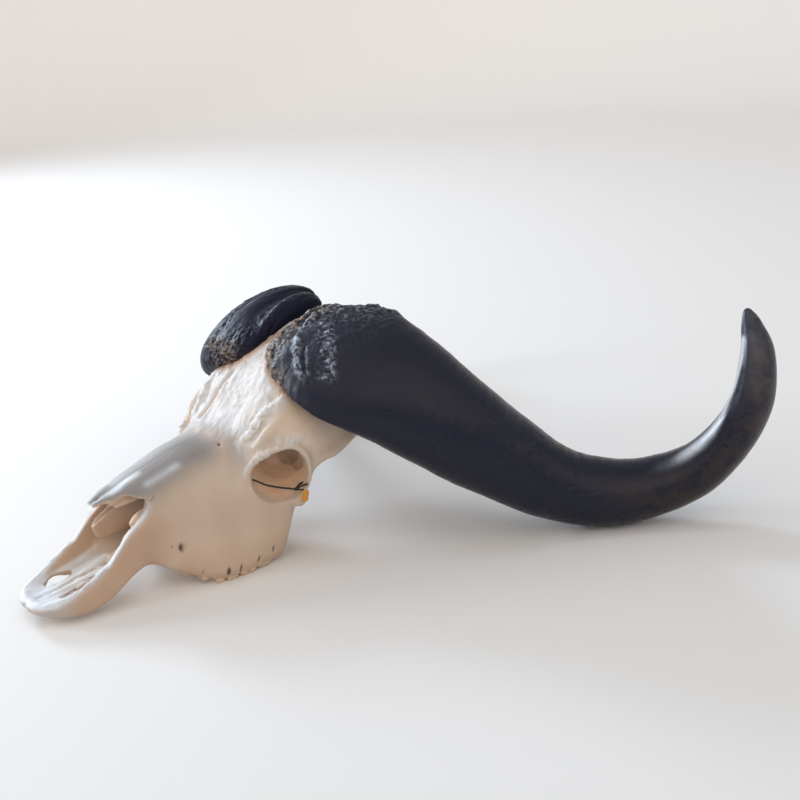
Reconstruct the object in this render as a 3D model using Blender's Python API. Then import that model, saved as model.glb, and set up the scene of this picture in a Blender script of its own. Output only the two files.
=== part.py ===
# Skull of a Cape buffalo without its lower jaw, with both horn sheaths on.
# Frame: +X is the animal's left, the snout points to -Y, +Z is up. The skull rests on z = 0 on its
# cheek teeth and on the low bend of each horn. Shapes are written in millimetres in the head's own
# frame, with the tooth rows about level, and are then seated on the ground and made in metres.

import math

import bmesh
import bpy
import numpy as np
from mathutils import Matrix, Vector, noise

# Driving dimensions, in metres
MM = 0.001
TOOTH_GAP = 0.0004
HORN_GAP = 0.0007
BONE_GRAIN = 0.0030
SCROLL_GRAIN = 0.0018
HORN_GRAIN = 0.0045
STRAP_RADIUS = 0.0014
STRAP_GRAIN = 0.0006

# Triangles that each skin is brought down to
CRANIUM_FACES = 4300
HORN_FACES = 1250
STRAP_FACES = 320

# How the head sits on the ground: a small turn about the low bend of the horns, then a shift
SEAT_PITCH_DEG = 0.6
SEAT_PIVOT = (0.0, 0.376, 0.0)
ORIGIN_SHIFT = (0.001, -0.136, 0.0)

# Main places on the skull, in millimetres
ORBIT_CENTRE = (110, -6, 128)
ORBIT_AXIS = (0.898, -0.435, -0.065)
# Radii of the socket's mouth at every 30 degrees, from the front over the top to the back
ORBIT_MOUTH = (41, 35, 28.5, 29.5, 34.5, 35, 34.5, 37, 39.5, 41.5, 42.5, 41.5)
# Radii of the rim's own middle line at the same places
ORBIT_RIM = (45, 39, 32.5, 33.5, 38.5, 38, 35.5, 38.5, 43, 45.5, 46.5, 45.5)
RIM_HALF = 4
BROW_RIDGE = ((88, 29, 217), (81, 14, 210), (76, 3, 202), (72, -8, 191), (68, -19, 178), (65, -29, 166))
KNOT = (116, 9, 103)
TAG_CENTRE = (129.5, 13.5, 96.5)
TAG_SIZE = (9.0, 17.0, 1.4)
TAG_FACING = (0.90, -0.42, 0.05)

# Half outlines of the face, from the top of the middle line round to the palate: y, then (x, z)
FACE_STATIONS = (
    (-203, ((0, 125), (19, 123), (39, 106), (53, 87), (57, 62), (52, 37), (36, 32), (0, 34))),
    (-170, ((0, 138), (23, 135), (46, 119), (59, 97), (61, 62), (52, 37), (34, 32), (0, 34))),
    (-136, ((0, 149), (26, 145), (52, 129), (66, 98), (69, 60), (62, 18), (41, 16), (0, 34))),
    (-100, ((0, 159), (30, 155), (58, 139), (78, 106), (87, 62), (88, 4), (58, 7), (0, 36))),
    (-60, ((0, 166), (35, 162), (64, 147), (84, 116), (93, 70), (91.5, 2.5), (60, 6), (0, 36))),
    (-25, ((0, 184), (44, 180), (74, 166), (94, 140), (103, 96), (90, 4.5), (60, 8), (0, 35))),
    (5, ((0, 213), (44, 211), (84, 203), (107, 176), (112, 100), (86, 14), (58, 15), (0, 36))),
    (35, ((0, 244), (46, 241), (90, 220), (118, 178), (116, 124), (60, 74), (34, 54), (0, 52))),
    (70, ((0, 271), (42, 268), (92, 242), (115, 188), (113, 136), (64, 104), (36, 82), (0, 78))),
    (110, ((0, 288), (40, 285), (88, 260), (109, 200), (105, 148), (70, 124), (40, 106), (0, 100))),
    (146, ((0, 276), (40, 272), (82, 246), (94, 194), (88, 154), (64, 132), (38, 118), (0, 112))),
    (172, ((0, 246), (38, 243), (74, 222), (86, 188), (80, 158), (56, 138), (32, 126), (0, 120))),
)

# Left side wall of the snout: centre, half height, half thickness
SNOUT_WALL = (
    ((52, -188, 68), 30, 5.5),
    ((50.5, -212, 51), 26, 5.5),
    ((50, -236, 31), 22, 5.5),
    ((49, -258, 20), 20, 5.5),
    ((45, -280, 16), 16, 6.0),
    ((38, -298, 15), 12, 7.0),
    ((25, -311, 15), 9.0, 8.0),
    ((9, -316, 14.5), 8.0, 8.0),
    ((0, -314.5, 14.5), 7.5, 7.5),
)

# Side outline (y, z) of the gap between the nasal bones and the snout's side wall
NOTCH_OUTLINE = ((-163, 120), (-168, 112), (-176, 104), (-189, 94.5), (-203, 84), (-213, 73), (-229, 56),
                 (-270, 42), (-270, 140), (-206, 134), (-186, 127), (-170, 122))

# Cheek teeth of the left side: name, y, x, length, width, height of the worn face over the ground
TEETH = (
    ("premolar_2", -125.0, 53, 14.6, 14, 13.5),
    ("premolar_3", -109.5, 67, 14.2, 17, 6.0),
    ("premolar_4", -95.2, 75, 13.2, 20, 0.0),
    ("molar_1", -78.8, 76.5, 18.2, 24, 0.0),
    ("molar_2", -55.7, 77, 26.4, 25, 0.4),
    ("molar_3", -30.2, 75.5, 23.4, 24, 1.6),
)
TOOTH_ROOT_TOP = 34
TOOTH_SIDES = 10

# Horn routes of the left side: centre, half width across the boss, half thickness above and below.
# Both horns share most of the boss and the way down. The right horn is thicker at its inner end, and
# its tip lies lower and further back.
LEFT_START = (
    ((8, 113, 284), 14, 6, 5),
    ((14, 113, 284), 37, 13, 12),
    ((24, 112, 283), 56, 19, 18),
)
RIGHT_START = (
    ((8, 113, 284), 42, 17, 5),
    ((14, 113, 284), 52, 23, 12),
    ((24, 112, 283), 60, 27, 18),
)
HORN_BASE = (
    ((38, 110, 279), 73, 25, 24),
    ((58, 108, 271), 86, 35, 27),
    ((84, 109, 263), 93, 42, 25),
    ((118, 117, 249), 98, 46, 24),
    ((162, 149, 218), 85, 51, 43),
    ((207, 199, 166), 73, 50, 44),
    ((242, 259, 112), 62, 46, 44),
)
LEFT_TIP = (
    ((277, 318, 66), 52, 45, 44),
    ((316, 376, 46), 48, 43, 45),
    ((354, 424, 50), 43, 40, 40),
    ((396, 467, 74), 40, 36, 36),
    ((428, 498, 119), 36, 31, 31),
    ((446, 517, 172), 32, 27, 27),
    ((445, 527, 230), 25, 21, 21),
    ((432, 530, 268), 15, 13, 13),
    ((423, 531, 288), 5, 5, 5),
)
RIGHT_TIP = (
    ((281, 318, 66), 52, 45, 44),
    ((324, 374, 46), 48, 43, 45),
    ((368, 420, 46), 43, 39, 39),
    ((410, 463, 58), 39, 34, 34),
    ((440, 506, 80), 34, 29, 29),
    ((451, 546, 106), 27, 23, 23),
    ((448, 576, 128), 17, 15, 15),
    ((443, 590, 138), 6, 6, 6),
)
BOSS_LEAN = (0.0, 0.94, 0.34)

# Lumps of the boss, in metres: how far out they reach, their height, and their count per metre
BOSS_REACH = 0.21
BOSS_LUMP = 0.0035
LUMPS_PER_M = (34, 22, 22)
RIDGES_PER_M = (60, 18, 18)


def smooth_rows(rows, steps):
    """Catmull-Rom curve through the rows, with the given steps between two rows."""
    rows = np.array(rows, dtype=float)
    padded = np.vstack([2 * rows[0] - rows[1], rows, 2 * rows[-1] - rows[-2]])
    result = []
    for i in range(1, len(padded) - 2):
        p0, p1, p2, p3 = padded[i - 1:i + 3]
        for k in range(steps):
            t = k / steps
            result.append(0.5 * (2 * p1 + (p2 - p0) * t + (2 * p0 - 5 * p1 + 4 * p2 - p3) * t ** 2
                                 + (3 * p1 - p0 - 3 * p2 + p3) * t ** 3))
    result.append(padded[-2])
    return np.array(result)


def skin_rings(rings):
    """Vertices and faces of a closed skin over rings of equal count, capped at both ends."""
    count = len(rings[0])
    verts = np.concatenate(rings)
    faces = []
    for i in range(len(rings) - 1):
        for k in range(count):
            a = i * count + k
            b = i * count + (k + 1) % count
            faces.append((a, b, b + count, a + count))
    last = (len(rings) - 1) * count
    faces.append(tuple(range(count - 1, -1, -1)))
    faces.append(tuple(last + k for k in range(count)))
    return verts, faces


def mirrored(shape):
    """The same shape on the animal's other side."""
    verts, faces = shape
    return verts * np.array([-1, 1, 1]), [tuple(reversed(face)) for face in faces]


def both_sides(shapes):
    return list(shapes) + [mirrored(shape) for shape in shapes]


def ball(centre, radii, turn=(0, 0, 0)):
    """An ellipsoid with its centre and radii in millimetres, turned by angles in degrees."""
    bm = bmesh.new()
    bmesh.ops.create_uvsphere(bm, u_segments=24, v_segments=14, radius=1.0)
    rotation = Matrix.Rotation(math.radians(turn[2]), 4, "Z")
    rotation = rotation @ Matrix.Rotation(math.radians(turn[1]), 4, "Y")
    rotation = rotation @ Matrix.Rotation(math.radians(turn[0]), 4, "X")
    size = Matrix.Diagonal((*[r * MM for r in radii], 1))
    bm.transform(Matrix.Translation(Vector(centre) * MM) @ rotation @ size)
    verts = np.array([v.co[:] for v in bm.verts])
    faces = [tuple(v.index for v in f.verts) for f in bm.faces]
    bm.free()
    return verts, faces


def sweep(rows, lean, steps=4, sides=16):
    """A bar along a smooth route. Each row is a centre, the half size along the lean direction, and
    the half size across it on its upper and, where given, its lower side, all in millimetres."""
    flat = [list(row[0]) + list(row[1:]) + ([row[2]] if len(row) == 3 else []) for row in rows]
    curve = smooth_rows(flat, steps) * MM
    centres = curve[:, :3]
    tangents = np.gradient(centres, axis=0)
    tangents /= np.linalg.norm(tangents, axis=1)[:, None]
    rings = []
    before = np.array((0.0, 0.0, 1.0))
    for centre, tangent, row in zip(centres, tangents, curve):
        broad = np.array(lean, dtype=float)
        broad -= tangent * broad.dot(tangent)
        broad /= np.linalg.norm(broad)
        across = np.cross(tangent, broad)
        if across.dot(before) < 0:
            across = -across
        before = across
        ring = []
        for k in range(sides):
            angle = 2 * math.pi * k / sides
            thick = row[4] if math.sin(angle) > 0 else row[5]
            ring.append(centre + broad * row[3] * math.cos(angle) + across * thick * math.sin(angle))
        rings.append(np.array(ring))
    verts, faces = skin_rings(rings)
    return outward((verts, faces))


def outward(shape):
    """The shape with all its faces turned outward."""
    mesh = bpy.data.meshes.new("turning")
    mesh.from_pydata(shape[0].tolist(), [], shape[1])
    bm = bmesh.new()
    bm.from_mesh(mesh)
    bmesh.ops.recalc_face_normals(bm, faces=bm.faces)
    verts = np.array([v.co[:] for v in bm.verts])
    faces = [tuple(v.index for v in f.verts) for f in bm.faces]
    bm.free()
    bpy.data.meshes.remove(mesh)
    return verts, faces


def stations_skin(stations, steps=5, around=5):
    """A closed skin through half outlines that are mirrored in the middle plane."""
    flat = [[y] + [value for point in half for value in point] for y, half in stations]
    rings = []
    for row in smooth_rows(flat, steps):
        half = row[1:].reshape(-1, 2)
        other = half[-2:0:-1] * np.array([-1, 1])
        loop = np.vstack([half, other])
        closed = np.vstack([loop[-1:], loop, loop[:2]])
        ring = smooth_rows(closed, around)[around:-around - 1]
        rings.append(np.column_stack([ring[:, 0], np.full(len(ring), row[0]), ring[:, 1]]) * MM)
    return outward(skin_rings(rings))


def prism(outline, low_x, high_x):
    """A block with the given side outline of y and z, between two values of x."""
    rings = [np.array([(x, y, z) for y, z in outline]) * MM for x in (low_x, high_x)]
    return outward(skin_rings(rings))


def joined_object(name, shapes):
    """One mesh object that holds all the shapes."""
    verts = []
    faces = []
    offset = 0
    for shape_verts, shape_faces in shapes:
        verts.extend(shape_verts.tolist())
        faces.extend([tuple(i + offset for i in face) for face in shape_faces])
        offset += len(shape_verts)
    mesh = bpy.data.meshes.new(name)
    mesh.from_pydata(verts, [], faces)
    mesh.update()
    obj = bpy.data.objects.new(name, mesh)
    bpy.context.scene.collection.objects.link(obj)
    return obj


def settle(obj):
    """Turns the object's modifiers into its mesh."""
    graph = bpy.context.evaluated_depsgraph_get()
    result = bpy.data.meshes.new_from_object(obj.evaluated_get(graph))
    obj.modifiers.clear()
    obj.data = result
    return obj


def merged(name, shapes, grain, rounds=2):
    """The shapes grown together into one skin, lightly smoothed."""
    obj = joined_object(name, shapes)
    remesh = obj.modifiers.new("grow together", "REMESH")
    remesh.mode = "VOXEL"
    remesh.voxel_size = grain
    smooth = obj.modifiers.new("soften", "SMOOTH")
    smooth.factor = 0.5
    smooth.iterations = rounds
    return settle(obj)


def subtract(obj, cutters):
    """Cuts the cutter objects out of the object and removes them."""
    for cutter in cutters:
        cutter.hide_render = True
        cutter.display_type = "WIRE"
        cut = obj.modifiers.new("cut", "BOOLEAN")
        cut.operation = "DIFFERENCE"
        cut.solver = "EXACT"
        cut.object = cutter
    settle(obj)
    for cutter in cutters:
        bpy.data.objects.remove(cutter)
    return obj


def simplified(obj, faces):
    """The object brought down to about this many triangles."""
    count = sum(len(p.vertices) - 2 for p in obj.data.polygons)
    reduce = obj.modifiers.new("reduce", "DECIMATE")
    reduce.ratio = min(1.0, faces / count)
    return settle(obj)


def swollen(source, gap):
    """A cutter with the object's own form, larger by the gap on every side."""
    cutter = bpy.data.objects.new("cutter", source.data.copy())
    bpy.context.scene.collection.objects.link(cutter)
    grow = cutter.modifiers.new("grow", "DISPLACE")
    grow.mid_level = 0.0
    grow.strength = gap
    return settle(cutter)


def face_shapes():
    """Snout, cheeks, forehead and the bone under the bosses."""
    alveolar_ridge = sweep((((52, -134, 21), 9, 10), ((68, -108, 18), 10, 12), ((76, -84, 14.5), 10, 13.5),
                            ((77.5, -56, 14), 10, 14), ((77, -28, 15), 10, 13), ((74, -6, 18), 13, 13),
                            ((72, 6, 32), 16, 12)),
                           (0, 0, 1))
    wall = sweep(SNOUT_WALL, (0, 0, 1))
    front_plate = sweep((((0, -309, 15), 12, 5), ((18, -305, 16), 14, 5), ((36, -294, 18), 14, 6)),
                        (0, 1, 0))
    palatine_rod = sweep((((6, -308, 15), 5, 5), ((6, -262, 21), 5, 5), ((8, -200, 34), 7, 5)), (1, 0, 0))
    nasal_tip = sweep((((10, -190, 127), 11, 4), ((9, -205, 123), 9, 3.8), ((5, -223, 116.5), 5, 2.5)),
                      (1, 0, 0))
    nose_floor = sweep((((22, -300, 15), 22, 5), ((27, -272, 17), 24, 5), ((27, -240, 24), 24, 5),
                        ((27, -200, 36), 24, 6)), (1, 0, 0))
    return [stations_skin(FACE_STATIONS)] + both_sides(
        [alveolar_ridge, wall, front_plate, palatine_rod, nasal_tip, nose_floor])


def radius_at(radii, angle):
    """Radius round the socket at an angle, between the twelve that are given."""
    turn = angle / (2 * math.pi) * len(radii)
    return np.interp(turn, range(len(radii) + 1), radii + radii[:1])


def socket_place(angle, radius, depth):
    """A place round the socket's axis, in millimetres."""
    axis = Vector(ORBIT_AXIS).normalized()
    up = (Vector((0, 0, 1)) - axis * axis.z).normalized()
    side = axis.cross(up)
    return Vector(ORBIT_CENTRE) + axis * depth + (side * math.cos(angle) + up * math.sin(angle)) * radius


def socket_tube(profile, sides=24):
    """A tube along the socket's axis. Each row is a depth, a radius and how much of the mouth's own
    outline the tube has there, from 0 for a circle to 1."""
    rings = []
    for depth, radius, share in profile:
        ring = []
        for k in range(sides):
            angle = 2 * math.pi * k / sides
            own = radius * radius_at(ORBIT_MOUTH, angle) / ORBIT_MOUTH[0]
            ring.append(socket_place(angle, radius + share * (own - radius), depth))
        rings.append(np.array(ring) * MM)
    return outward(skin_rings(rings))


def rim_places():
    """Places round the socket's rim, just outside its mouth."""
    places = []
    for k in range(13):
        angle = 2 * math.pi * (k % 12) / 12
        places.append(socket_place(angle, radius_at(ORBIT_RIM, angle), -4))
    return places


def orbit_shapes():
    """The tubular eye socket with its thick rim, and the cheek arch behind it."""
    rim = sweep([(tuple(place), 4.6, RIM_HALF) for place in rim_places()], ORBIT_AXIS, steps=3, sides=10)
    tube = socket_tube(((-58, 52, 0.3), (-34, 50, 0.6), (-14, 46, 1), (-5, 43, 1)))
    lower_corner = ball((112, 16, 86), (8, 11, 11))
    arch = sweep((((109, 12, 97), 13, 8), ((114.5, 33, 127), 10, 6.5), ((115, 56, 137), 9, 7),
                  ((112, 76, 139), 10, 8), ((106, 108, 152), 10, 10), ((90, 145, 162), 14, 12)),
                 (0, 0, 1))
    brow = sweep((((84, -26, 158), 8, 7), ((90, -12, 176), 9, 8), ((94, 6, 186), 10, 9),
                  ((102, 34, 182), 12, 9)), (0, 0, 1))
    brow_ridge = sweep([(tuple(place), 5, 4) for place in BROW_RIDGE], (0, 0.7, -0.7), sides=14)
    return both_sides([rim, tube, lower_corner, arch, brow, brow_ridge])


def rear_shapes():
    """Braincase, back of the head and the parts round the great opening."""
    braincase = ball((0, 100, 172), (66, 76, 60))
    base = sweep((((0, 52, 74), 20, 12), ((0, 100, 96), 21, 12), ((0, 158, 116), 18, 11)), (1, 0, 0))
    crest = sweep((((0, 178, 236), 9, 9), ((40, 176, 230), 9, 9), ((76, 164, 208), 9, 9),
                   ((88, 148, 176), 9, 10)), (0, 0, 1))
    nape_ridge = sweep((((0, 180, 232), 6, 5), ((0, 182, 200), 5, 6), ((0, 178, 176), 4, 5)), (1, 0, 0))
    condyle = ball((25, 180, 134), (15, 17, 17), (25, 0, 12))
    ear_bulb = ball((40, 116, 118), (15, 18, 14))
    ear_spike = sweep((((60, 148, 150), 14, 9), ((58, 156, 132), 10, 6), ((56, 160, 120), 4, 4)), (1, 0, 0))
    plate = sweep((((25, -8, 36), 12, 5), ((23, 26, 46), 15, 4.5), ((21, 56, 72), 15, 4.5)), (0, 0, 1))
    return [braincase, base, nape_ridge] + both_sides([crest, condyle, ear_bulb, ear_spike, plate])


def cavity_shapes():
    """The hollows: nose, eye sockets, temples, choanae and the great opening."""
    nose = stations_skin((
        (-345, ((0, 150), (26, 150), (44, 140), (44, 100), (36, 30), (26, 27), (12, 27), (0, 27))),
        (-300, ((0, 120), (26, 118), (44, 106), (42, 70), (34, 27), (22, 23), (12, 23), (0, 24))),
        (-258, ((0, 106), (20, 106), (40, 94), (44, 66), (43, 32), (34, 24), (16, 29), (0, 31))),
        (-230, ((0, 109), (18, 108), (38, 97), (45, 72), (45, 40), (38, 30), (18, 34), (0, 36))),
        (-203, ((0, 118), (17, 116.5), (33, 104), (45, 82), (48, 62), (43, 43), (28, 39), (0, 41))),
        (-170, ((0, 127), (20, 125), (39, 110), (51, 92), (53, 64), (44, 44), (28, 40), (0, 42))),
        (-110, ((0, 142), (22, 140), (42, 124), (52, 98), (50, 66), (40, 50), (24, 48), (0, 48))),
        (-70, ((0, 134), (16, 132), (30, 120), (34, 98), (32, 76), (26, 62), (14, 60), (0, 60))),
    ))
    socket = socket_tube(((-66, 16, 0), (-52, 25, 0), (-34, 32, 0.3), (-14, 37, 0.8), (-5, 40, 1),
                          (2, 42, 1), (22, 49, 1)))
    temple = ball((90, 92, 104), (17, 50, 44), (-28, 0, 8))
    behind_eye = sweep((((66, -8, 134), 9, 10), ((70, 10, 133), 14, 18), ((76, 32, 131), 15, 21),
                        ((84, 54, 124), 18, 16), ((89, 72, 114), 22, 12)), (0, 0, 1))
    left_fissure = sweep((((23, -284, 20), 4, 30), ((24, -256, 24), 7, 30), ((23, -226, 32), 5, 30)),
                         (1, 0, 0))
    right_fissure = sweep((((-25, -286, 20), 5, 30), ((-29, -268, 24), 11, 30), ((-28, -250, 30), 7, 30)),
                          (1, 0, 0))
    worn_edge = ball((-45, -266, 4), (20, 27, 16))
    nape_hollow = ball((38, 192, 196), (27, 18, 30))
    notch = prism(NOTCH_OUTLINE, 21, 82)
    choana = sweep((((0, 16, 30), 17, 16), ((0, 50, 52), 15, 16), ((0, 76, 66), 9, 10)), (1, 0, 0))
    great_opening = sweep((((0, 200, 142), 19, 18), ((0, 150, 148), 17, 16), ((0, 112, 162), 30, 26)),
                          (1, 0, 0))
    return [nose, choana, great_opening, left_fissure, right_fissure, worn_edge] + both_sides(
        [socket, temple, behind_eye, nape_hollow, notch])


def inner_shapes():
    """Scrolls of thin bone in the nose and the upright plate on its floor."""
    left_scroll = sweep((((19, -180, 78), 8, 5), ((22, -160, 84), 16, 11), ((24, -96, 94), 18, 13)),
                        (0, 0, 1))
    upper_scroll = sweep((((12, -196, 112), 4, 6), ((15, -170, 118), 6, 9), ((18, -110, 126), 8, 12)),
                         (0, 0, 1))
    side_root = sweep((((44, -176, 84), 4, 12), ((44, -100, 86), 4, 16)), (0, 0, 1))
    floor_plate = sweep((((0, -206, 38), 3, 2), ((0, -180, 44), 10, 3), ((0, -90, 56), 20, 3)), (0, 0, 1))
    return [floor_plate, left_scroll] + both_sides([upper_scroll, side_root])


def right_scroll():
    """The scroll that shows in the nose: a curled leaf with two thin lips along its top."""
    leaf = sweep((((-13, -216, 75), 12, 3), ((-14, -210, 77), 16, 6), ((-16, -196, 80), 20, 8),
                  ((-20, -168, 84), 22, 11), ((-24, -96, 94), 18, 13)), (0, 0, 1))
    groove = sweep((((-13, -224, 92), 12, 3.0), ((-14, -208, 98), 13, 3.4), ((-17, -188, 104), 14, 4.0),
                    ((-21, -160, 108), 12, 5)), (0, 0, 1))
    scroll = merged("scroll", [leaf], SCROLL_GRAIN, 1)
    return subtract(scroll, [joined_object("groove", [groove])])


def cord_run(places):
    """A stretch of the tie through the given places."""
    radius = STRAP_RADIUS / MM
    return sweep([(place, radius, radius) for place in places], (0.3, 0.2, 1), sides=10)


def make_strap():
    """The tie: a tail out of a small hole in the socket's front wall, a knot, a loop that goes over
    the rear rim and back through the socket, and a short leg that holds the tag."""
    tail = cord_run(((80, -40, 121.5), (87, -33.5, 119.5), (98, -24, 113.5), (108, -7.5, 107.5), KNOT))
    loop = cord_run((KNOT, (120.5, 14, 107), (122, 20.5, 107.5), (119.5, 26, 107.5), (113.5, 27, 107),
                     (109, 20, 105), KNOT))
    leg = cord_run((KNOT, (122, 12, 103), (127.5, 14, 103.5)))
    knot = ball(KNOT, (2.6, 2.6, 2.4))
    strap = merged("orbit_strap", [tail, loop, leg, knot], STRAP_GRAIN, 1)
    return simplified(strap, STRAP_FACES)


def make_tag():
    """A small plain plate with rounded ends that hangs on the tie."""
    bm = bmesh.new()
    outline = []
    for k in range(20):
        angle = 2 * math.pi * k / 20
        lift = TAG_SIZE[1] / 2 - TAG_SIZE[0] / 2
        outline.append((TAG_SIZE[0] / 2 * math.cos(angle),
                        TAG_SIZE[0] / 2 * math.sin(angle) + math.copysign(lift, math.sin(angle))))
    base = [bm.verts.new((x * MM, y * MM, 0)) for x, y in outline]
    face = bm.faces.new(base)
    raised = bmesh.ops.extrude_face_region(bm, geom=[face])
    tops = [v for v in raised["geom"] if isinstance(v, bmesh.types.BMVert)]
    bmesh.ops.translate(bm, verts=tops, vec=(0, 0, TAG_SIZE[2] * MM))
    bmesh.ops.recalc_face_normals(bm, faces=bm.faces)
    facing = Vector(TAG_FACING).normalized()
    up = (Vector((0, 0.25, 1)) - facing * facing.z).normalized()
    side = up.cross(facing).normalized()
    up = facing.cross(side)
    turn = Matrix((side, up, facing)).transposed().to_4x4()
    bm.transform(Matrix.Translation(Vector(TAG_CENTRE) * MM) @ turn)
    mesh = bpy.data.meshes.new("tag")
    bm.to_mesh(mesh)
    bm.free()
    obj = bpy.data.objects.new("tag", mesh)
    bpy.context.scene.collection.objects.link(obj)
    return obj


def make_cranium():
    cranium = merged("cranium", face_shapes() + orbit_shapes() + rear_shapes(), BONE_GRAIN)
    hollows = [merged("hollow", [shape], BONE_GRAIN, 1) for shape in cavity_shapes()]
    subtract(cranium, hollows)
    scrolls = joined_object("scrolls", inner_shapes())
    inner = [cranium, scrolls, right_scroll()]
    bpy.context.view_layer.objects.active = cranium
    with bpy.context.temp_override(active_object=cranium, selected_editable_objects=inner):
        bpy.ops.object.join()
    again = cranium.modifiers.new("even out", "REMESH")
    again.mode = "VOXEL"
    again.voxel_size = BONE_GRAIN
    smooth = cranium.modifiers.new("soften", "SMOOTH")
    smooth.iterations = 2
    settle(cranium)
    return simplified(cranium, CRANIUM_FACES)


def roughen_boss(obj):
    """Raises the lumps and ridges of the boss, which fade along the horn."""
    mesh = obj.data
    moved = []
    for vertex in mesh.vertices:
        place = vertex.co
        fade = max(0.0, 1.0 - abs(place.x) / BOSS_REACH)
        lump = noise.noise(Vector(p * n for p, n in zip(place, LUMPS_PER_M)))
        ridge = 0.5 - 2 * abs(noise.noise(Vector(p * n for p, n in zip(place, RIDGES_PER_M))))
        moved.append(place + vertex.normal * BOSS_LUMP * (lump + ridge) * fade)
    mesh.vertices.foreach_set("co", np.array(moved).ravel())
    mesh.update()


def make_horn(name, side, start, tip):
    """A horn sheath with its boss. Side is 1 for the left horn and -1 for the right one."""
    route = [((side * x, y, z), *sizes) for (x, y, z), *sizes in start + HORN_BASE + tip]
    horn = merged(name, [sweep(route, BOSS_LEAN, sides=28)], HORN_GRAIN)
    roughen_boss(horn)
    return set_down(seated(simplified(horn, HORN_FACES)))


def set_down(obj):
    """Lifts or lowers a piece so that its lowest point is on the ground."""
    lowest = min(vertex.co.z for vertex in obj.data.vertices)
    obj.data.transform(Matrix.Translation((0, 0, -lowest)))
    return obj


def seated(obj):
    """Turns a piece from the head's own frame onto its resting place on the ground."""
    pivot = Vector(SEAT_PIVOT)
    turn = Matrix.Rotation(math.radians(-SEAT_PITCH_DEG), 4, "X")
    obj.data.transform(Matrix.Translation(pivot) @ turn @ Matrix.Translation(-pivot))
    return obj


def make_tooth(name, y, x, length, width, worn_z, gap=0.0):
    """A worn crown: a rounded block with its flat face down."""
    bm = bmesh.new()
    ring = []
    for k in range(TOOTH_SIDES):
        angle = 2 * math.pi * (k + 0.5) / TOOTH_SIDES
        cx = math.copysign(abs(math.cos(angle)) ** 0.6, math.cos(angle)) * (width / 2 + gap)
        cy = math.copysign(abs(math.sin(angle)) ** 0.6, math.sin(angle)) * (length / 2 + gap)
        ring.append((cx, cy))
    rows = []
    for height, scale in ((worn_z - gap, 0.94), (worn_z + 3, 1.0), (TOOTH_ROOT_TOP + gap, 0.86)):
        rows.append([bm.verts.new(((x + cx * scale) * MM, (y + cy * scale) * MM, height * MM))
                     for cx, cy in ring])
    for low, high in zip(rows, rows[1:]):
        for k in range(TOOTH_SIDES):
            bm.faces.new((low[k], low[(k + 1) % TOOTH_SIDES], high[(k + 1) % TOOTH_SIDES], high[k]))
    bm.faces.new(list(reversed(rows[0])))
    bm.faces.new(rows[-1])
    bmesh.ops.recalc_face_normals(bm, faces=bm.faces)
    mesh = bpy.data.meshes.new(name)
    bm.to_mesh(mesh)
    bm.free()
    obj = bpy.data.objects.new(name, mesh)
    bpy.context.scene.collection.objects.link(obj)
    return obj


def teeth_of(gap):
    """All the crowns, or their sockets where a gap is given."""
    made = []
    for side, sign in (("left", 1), ("right", -1)):
        for name, y, x, length, width, worn_z in TEETH:
            made.append(make_tooth(side + "_" + name, y, sign * x, length, width, worn_z, gap))
    return made


def material(name, colour, roughness):
    made = bpy.data.materials.new(name)
    made.use_nodes = True
    shader = made.node_tree.nodes["Principled BSDF"]
    shader.inputs["Base Color"].default_value = (*colour, 1)
    shader.inputs["Roughness"].default_value = roughness
    made.diffuse_color = (*colour, 1)
    return made


def finish(objects):
    """Gives each object its material and moves the skull onto its origin."""
    looks = {
        "cranium": material("bone", (0.62, 0.50, 0.40), 0.6),
        "horn": material("horn", (0.030, 0.031, 0.040), 0.4),
        "strap": material("black tie", (0.012, 0.012, 0.013), 0.5),
        "tag": material("amber tag", (0.75, 0.33, 0.04), 0.35),
        "tooth": material("tooth", (0.55, 0.40, 0.27), 0.45),
    }
    for obj in objects:
        kind = next((word for word in looks if word in obj.name), "tooth")
        obj.data.materials.clear()
        obj.data.materials.append(looks[kind])
        obj.data.transform(Matrix.Translation(ORIGIN_SHIFT))


def build():
    for obj in list(bpy.data.objects):
        bpy.data.objects.remove(obj)
    cranium = seated(make_cranium())
    horns = [make_horn("left_horn", 1, LEFT_START, LEFT_TIP),
             make_horn("right_horn", -1, RIGHT_START, RIGHT_TIP)]
    teeth = teeth_of(0.0)
    strap = seated(make_strap())
    tag = seated(make_tag())
    sockets = teeth_of(TOOTH_GAP / MM)
    neighbours = [swollen(piece, HORN_GAP) for piece in horns + [strap]]
    subtract(cranium, neighbours + sockets)
    finish([cranium, strap, tag] + horns + teeth)


build()
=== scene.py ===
import math

import bmesh
import bpy
import numpy as np
from mathutils import Matrix, Vector, noise
from mathutils.kdtree import KDTree


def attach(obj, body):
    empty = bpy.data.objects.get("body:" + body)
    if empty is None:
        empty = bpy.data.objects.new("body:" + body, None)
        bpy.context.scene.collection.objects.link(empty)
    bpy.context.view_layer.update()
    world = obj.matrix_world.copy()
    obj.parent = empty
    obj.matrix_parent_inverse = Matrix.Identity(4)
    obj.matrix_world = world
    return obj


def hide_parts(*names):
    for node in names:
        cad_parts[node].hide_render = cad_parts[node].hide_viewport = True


# Looks of a Cape buffalo skull without its lower jaw. Shapes are written in millimetres in the head's
# own frame: +X is the animal's left, the snout points to -Y, the tooth rows are about level. They are
# then seated on the ground and made in metres, as in the solids that they stand for.

MM = 0.001
SEAT_PITCH_DEG = 0.6
SEAT_PIVOT = (0.0, 0.376, 0.0)
ORIGIN_SHIFT = (0.001, -0.136, 0.0)

# Grain of the bone while it is put together, and of its finished surface, in metres
ROUGH_GRAIN = 0.0030
FINE_GRAIN = 0.0016

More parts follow.
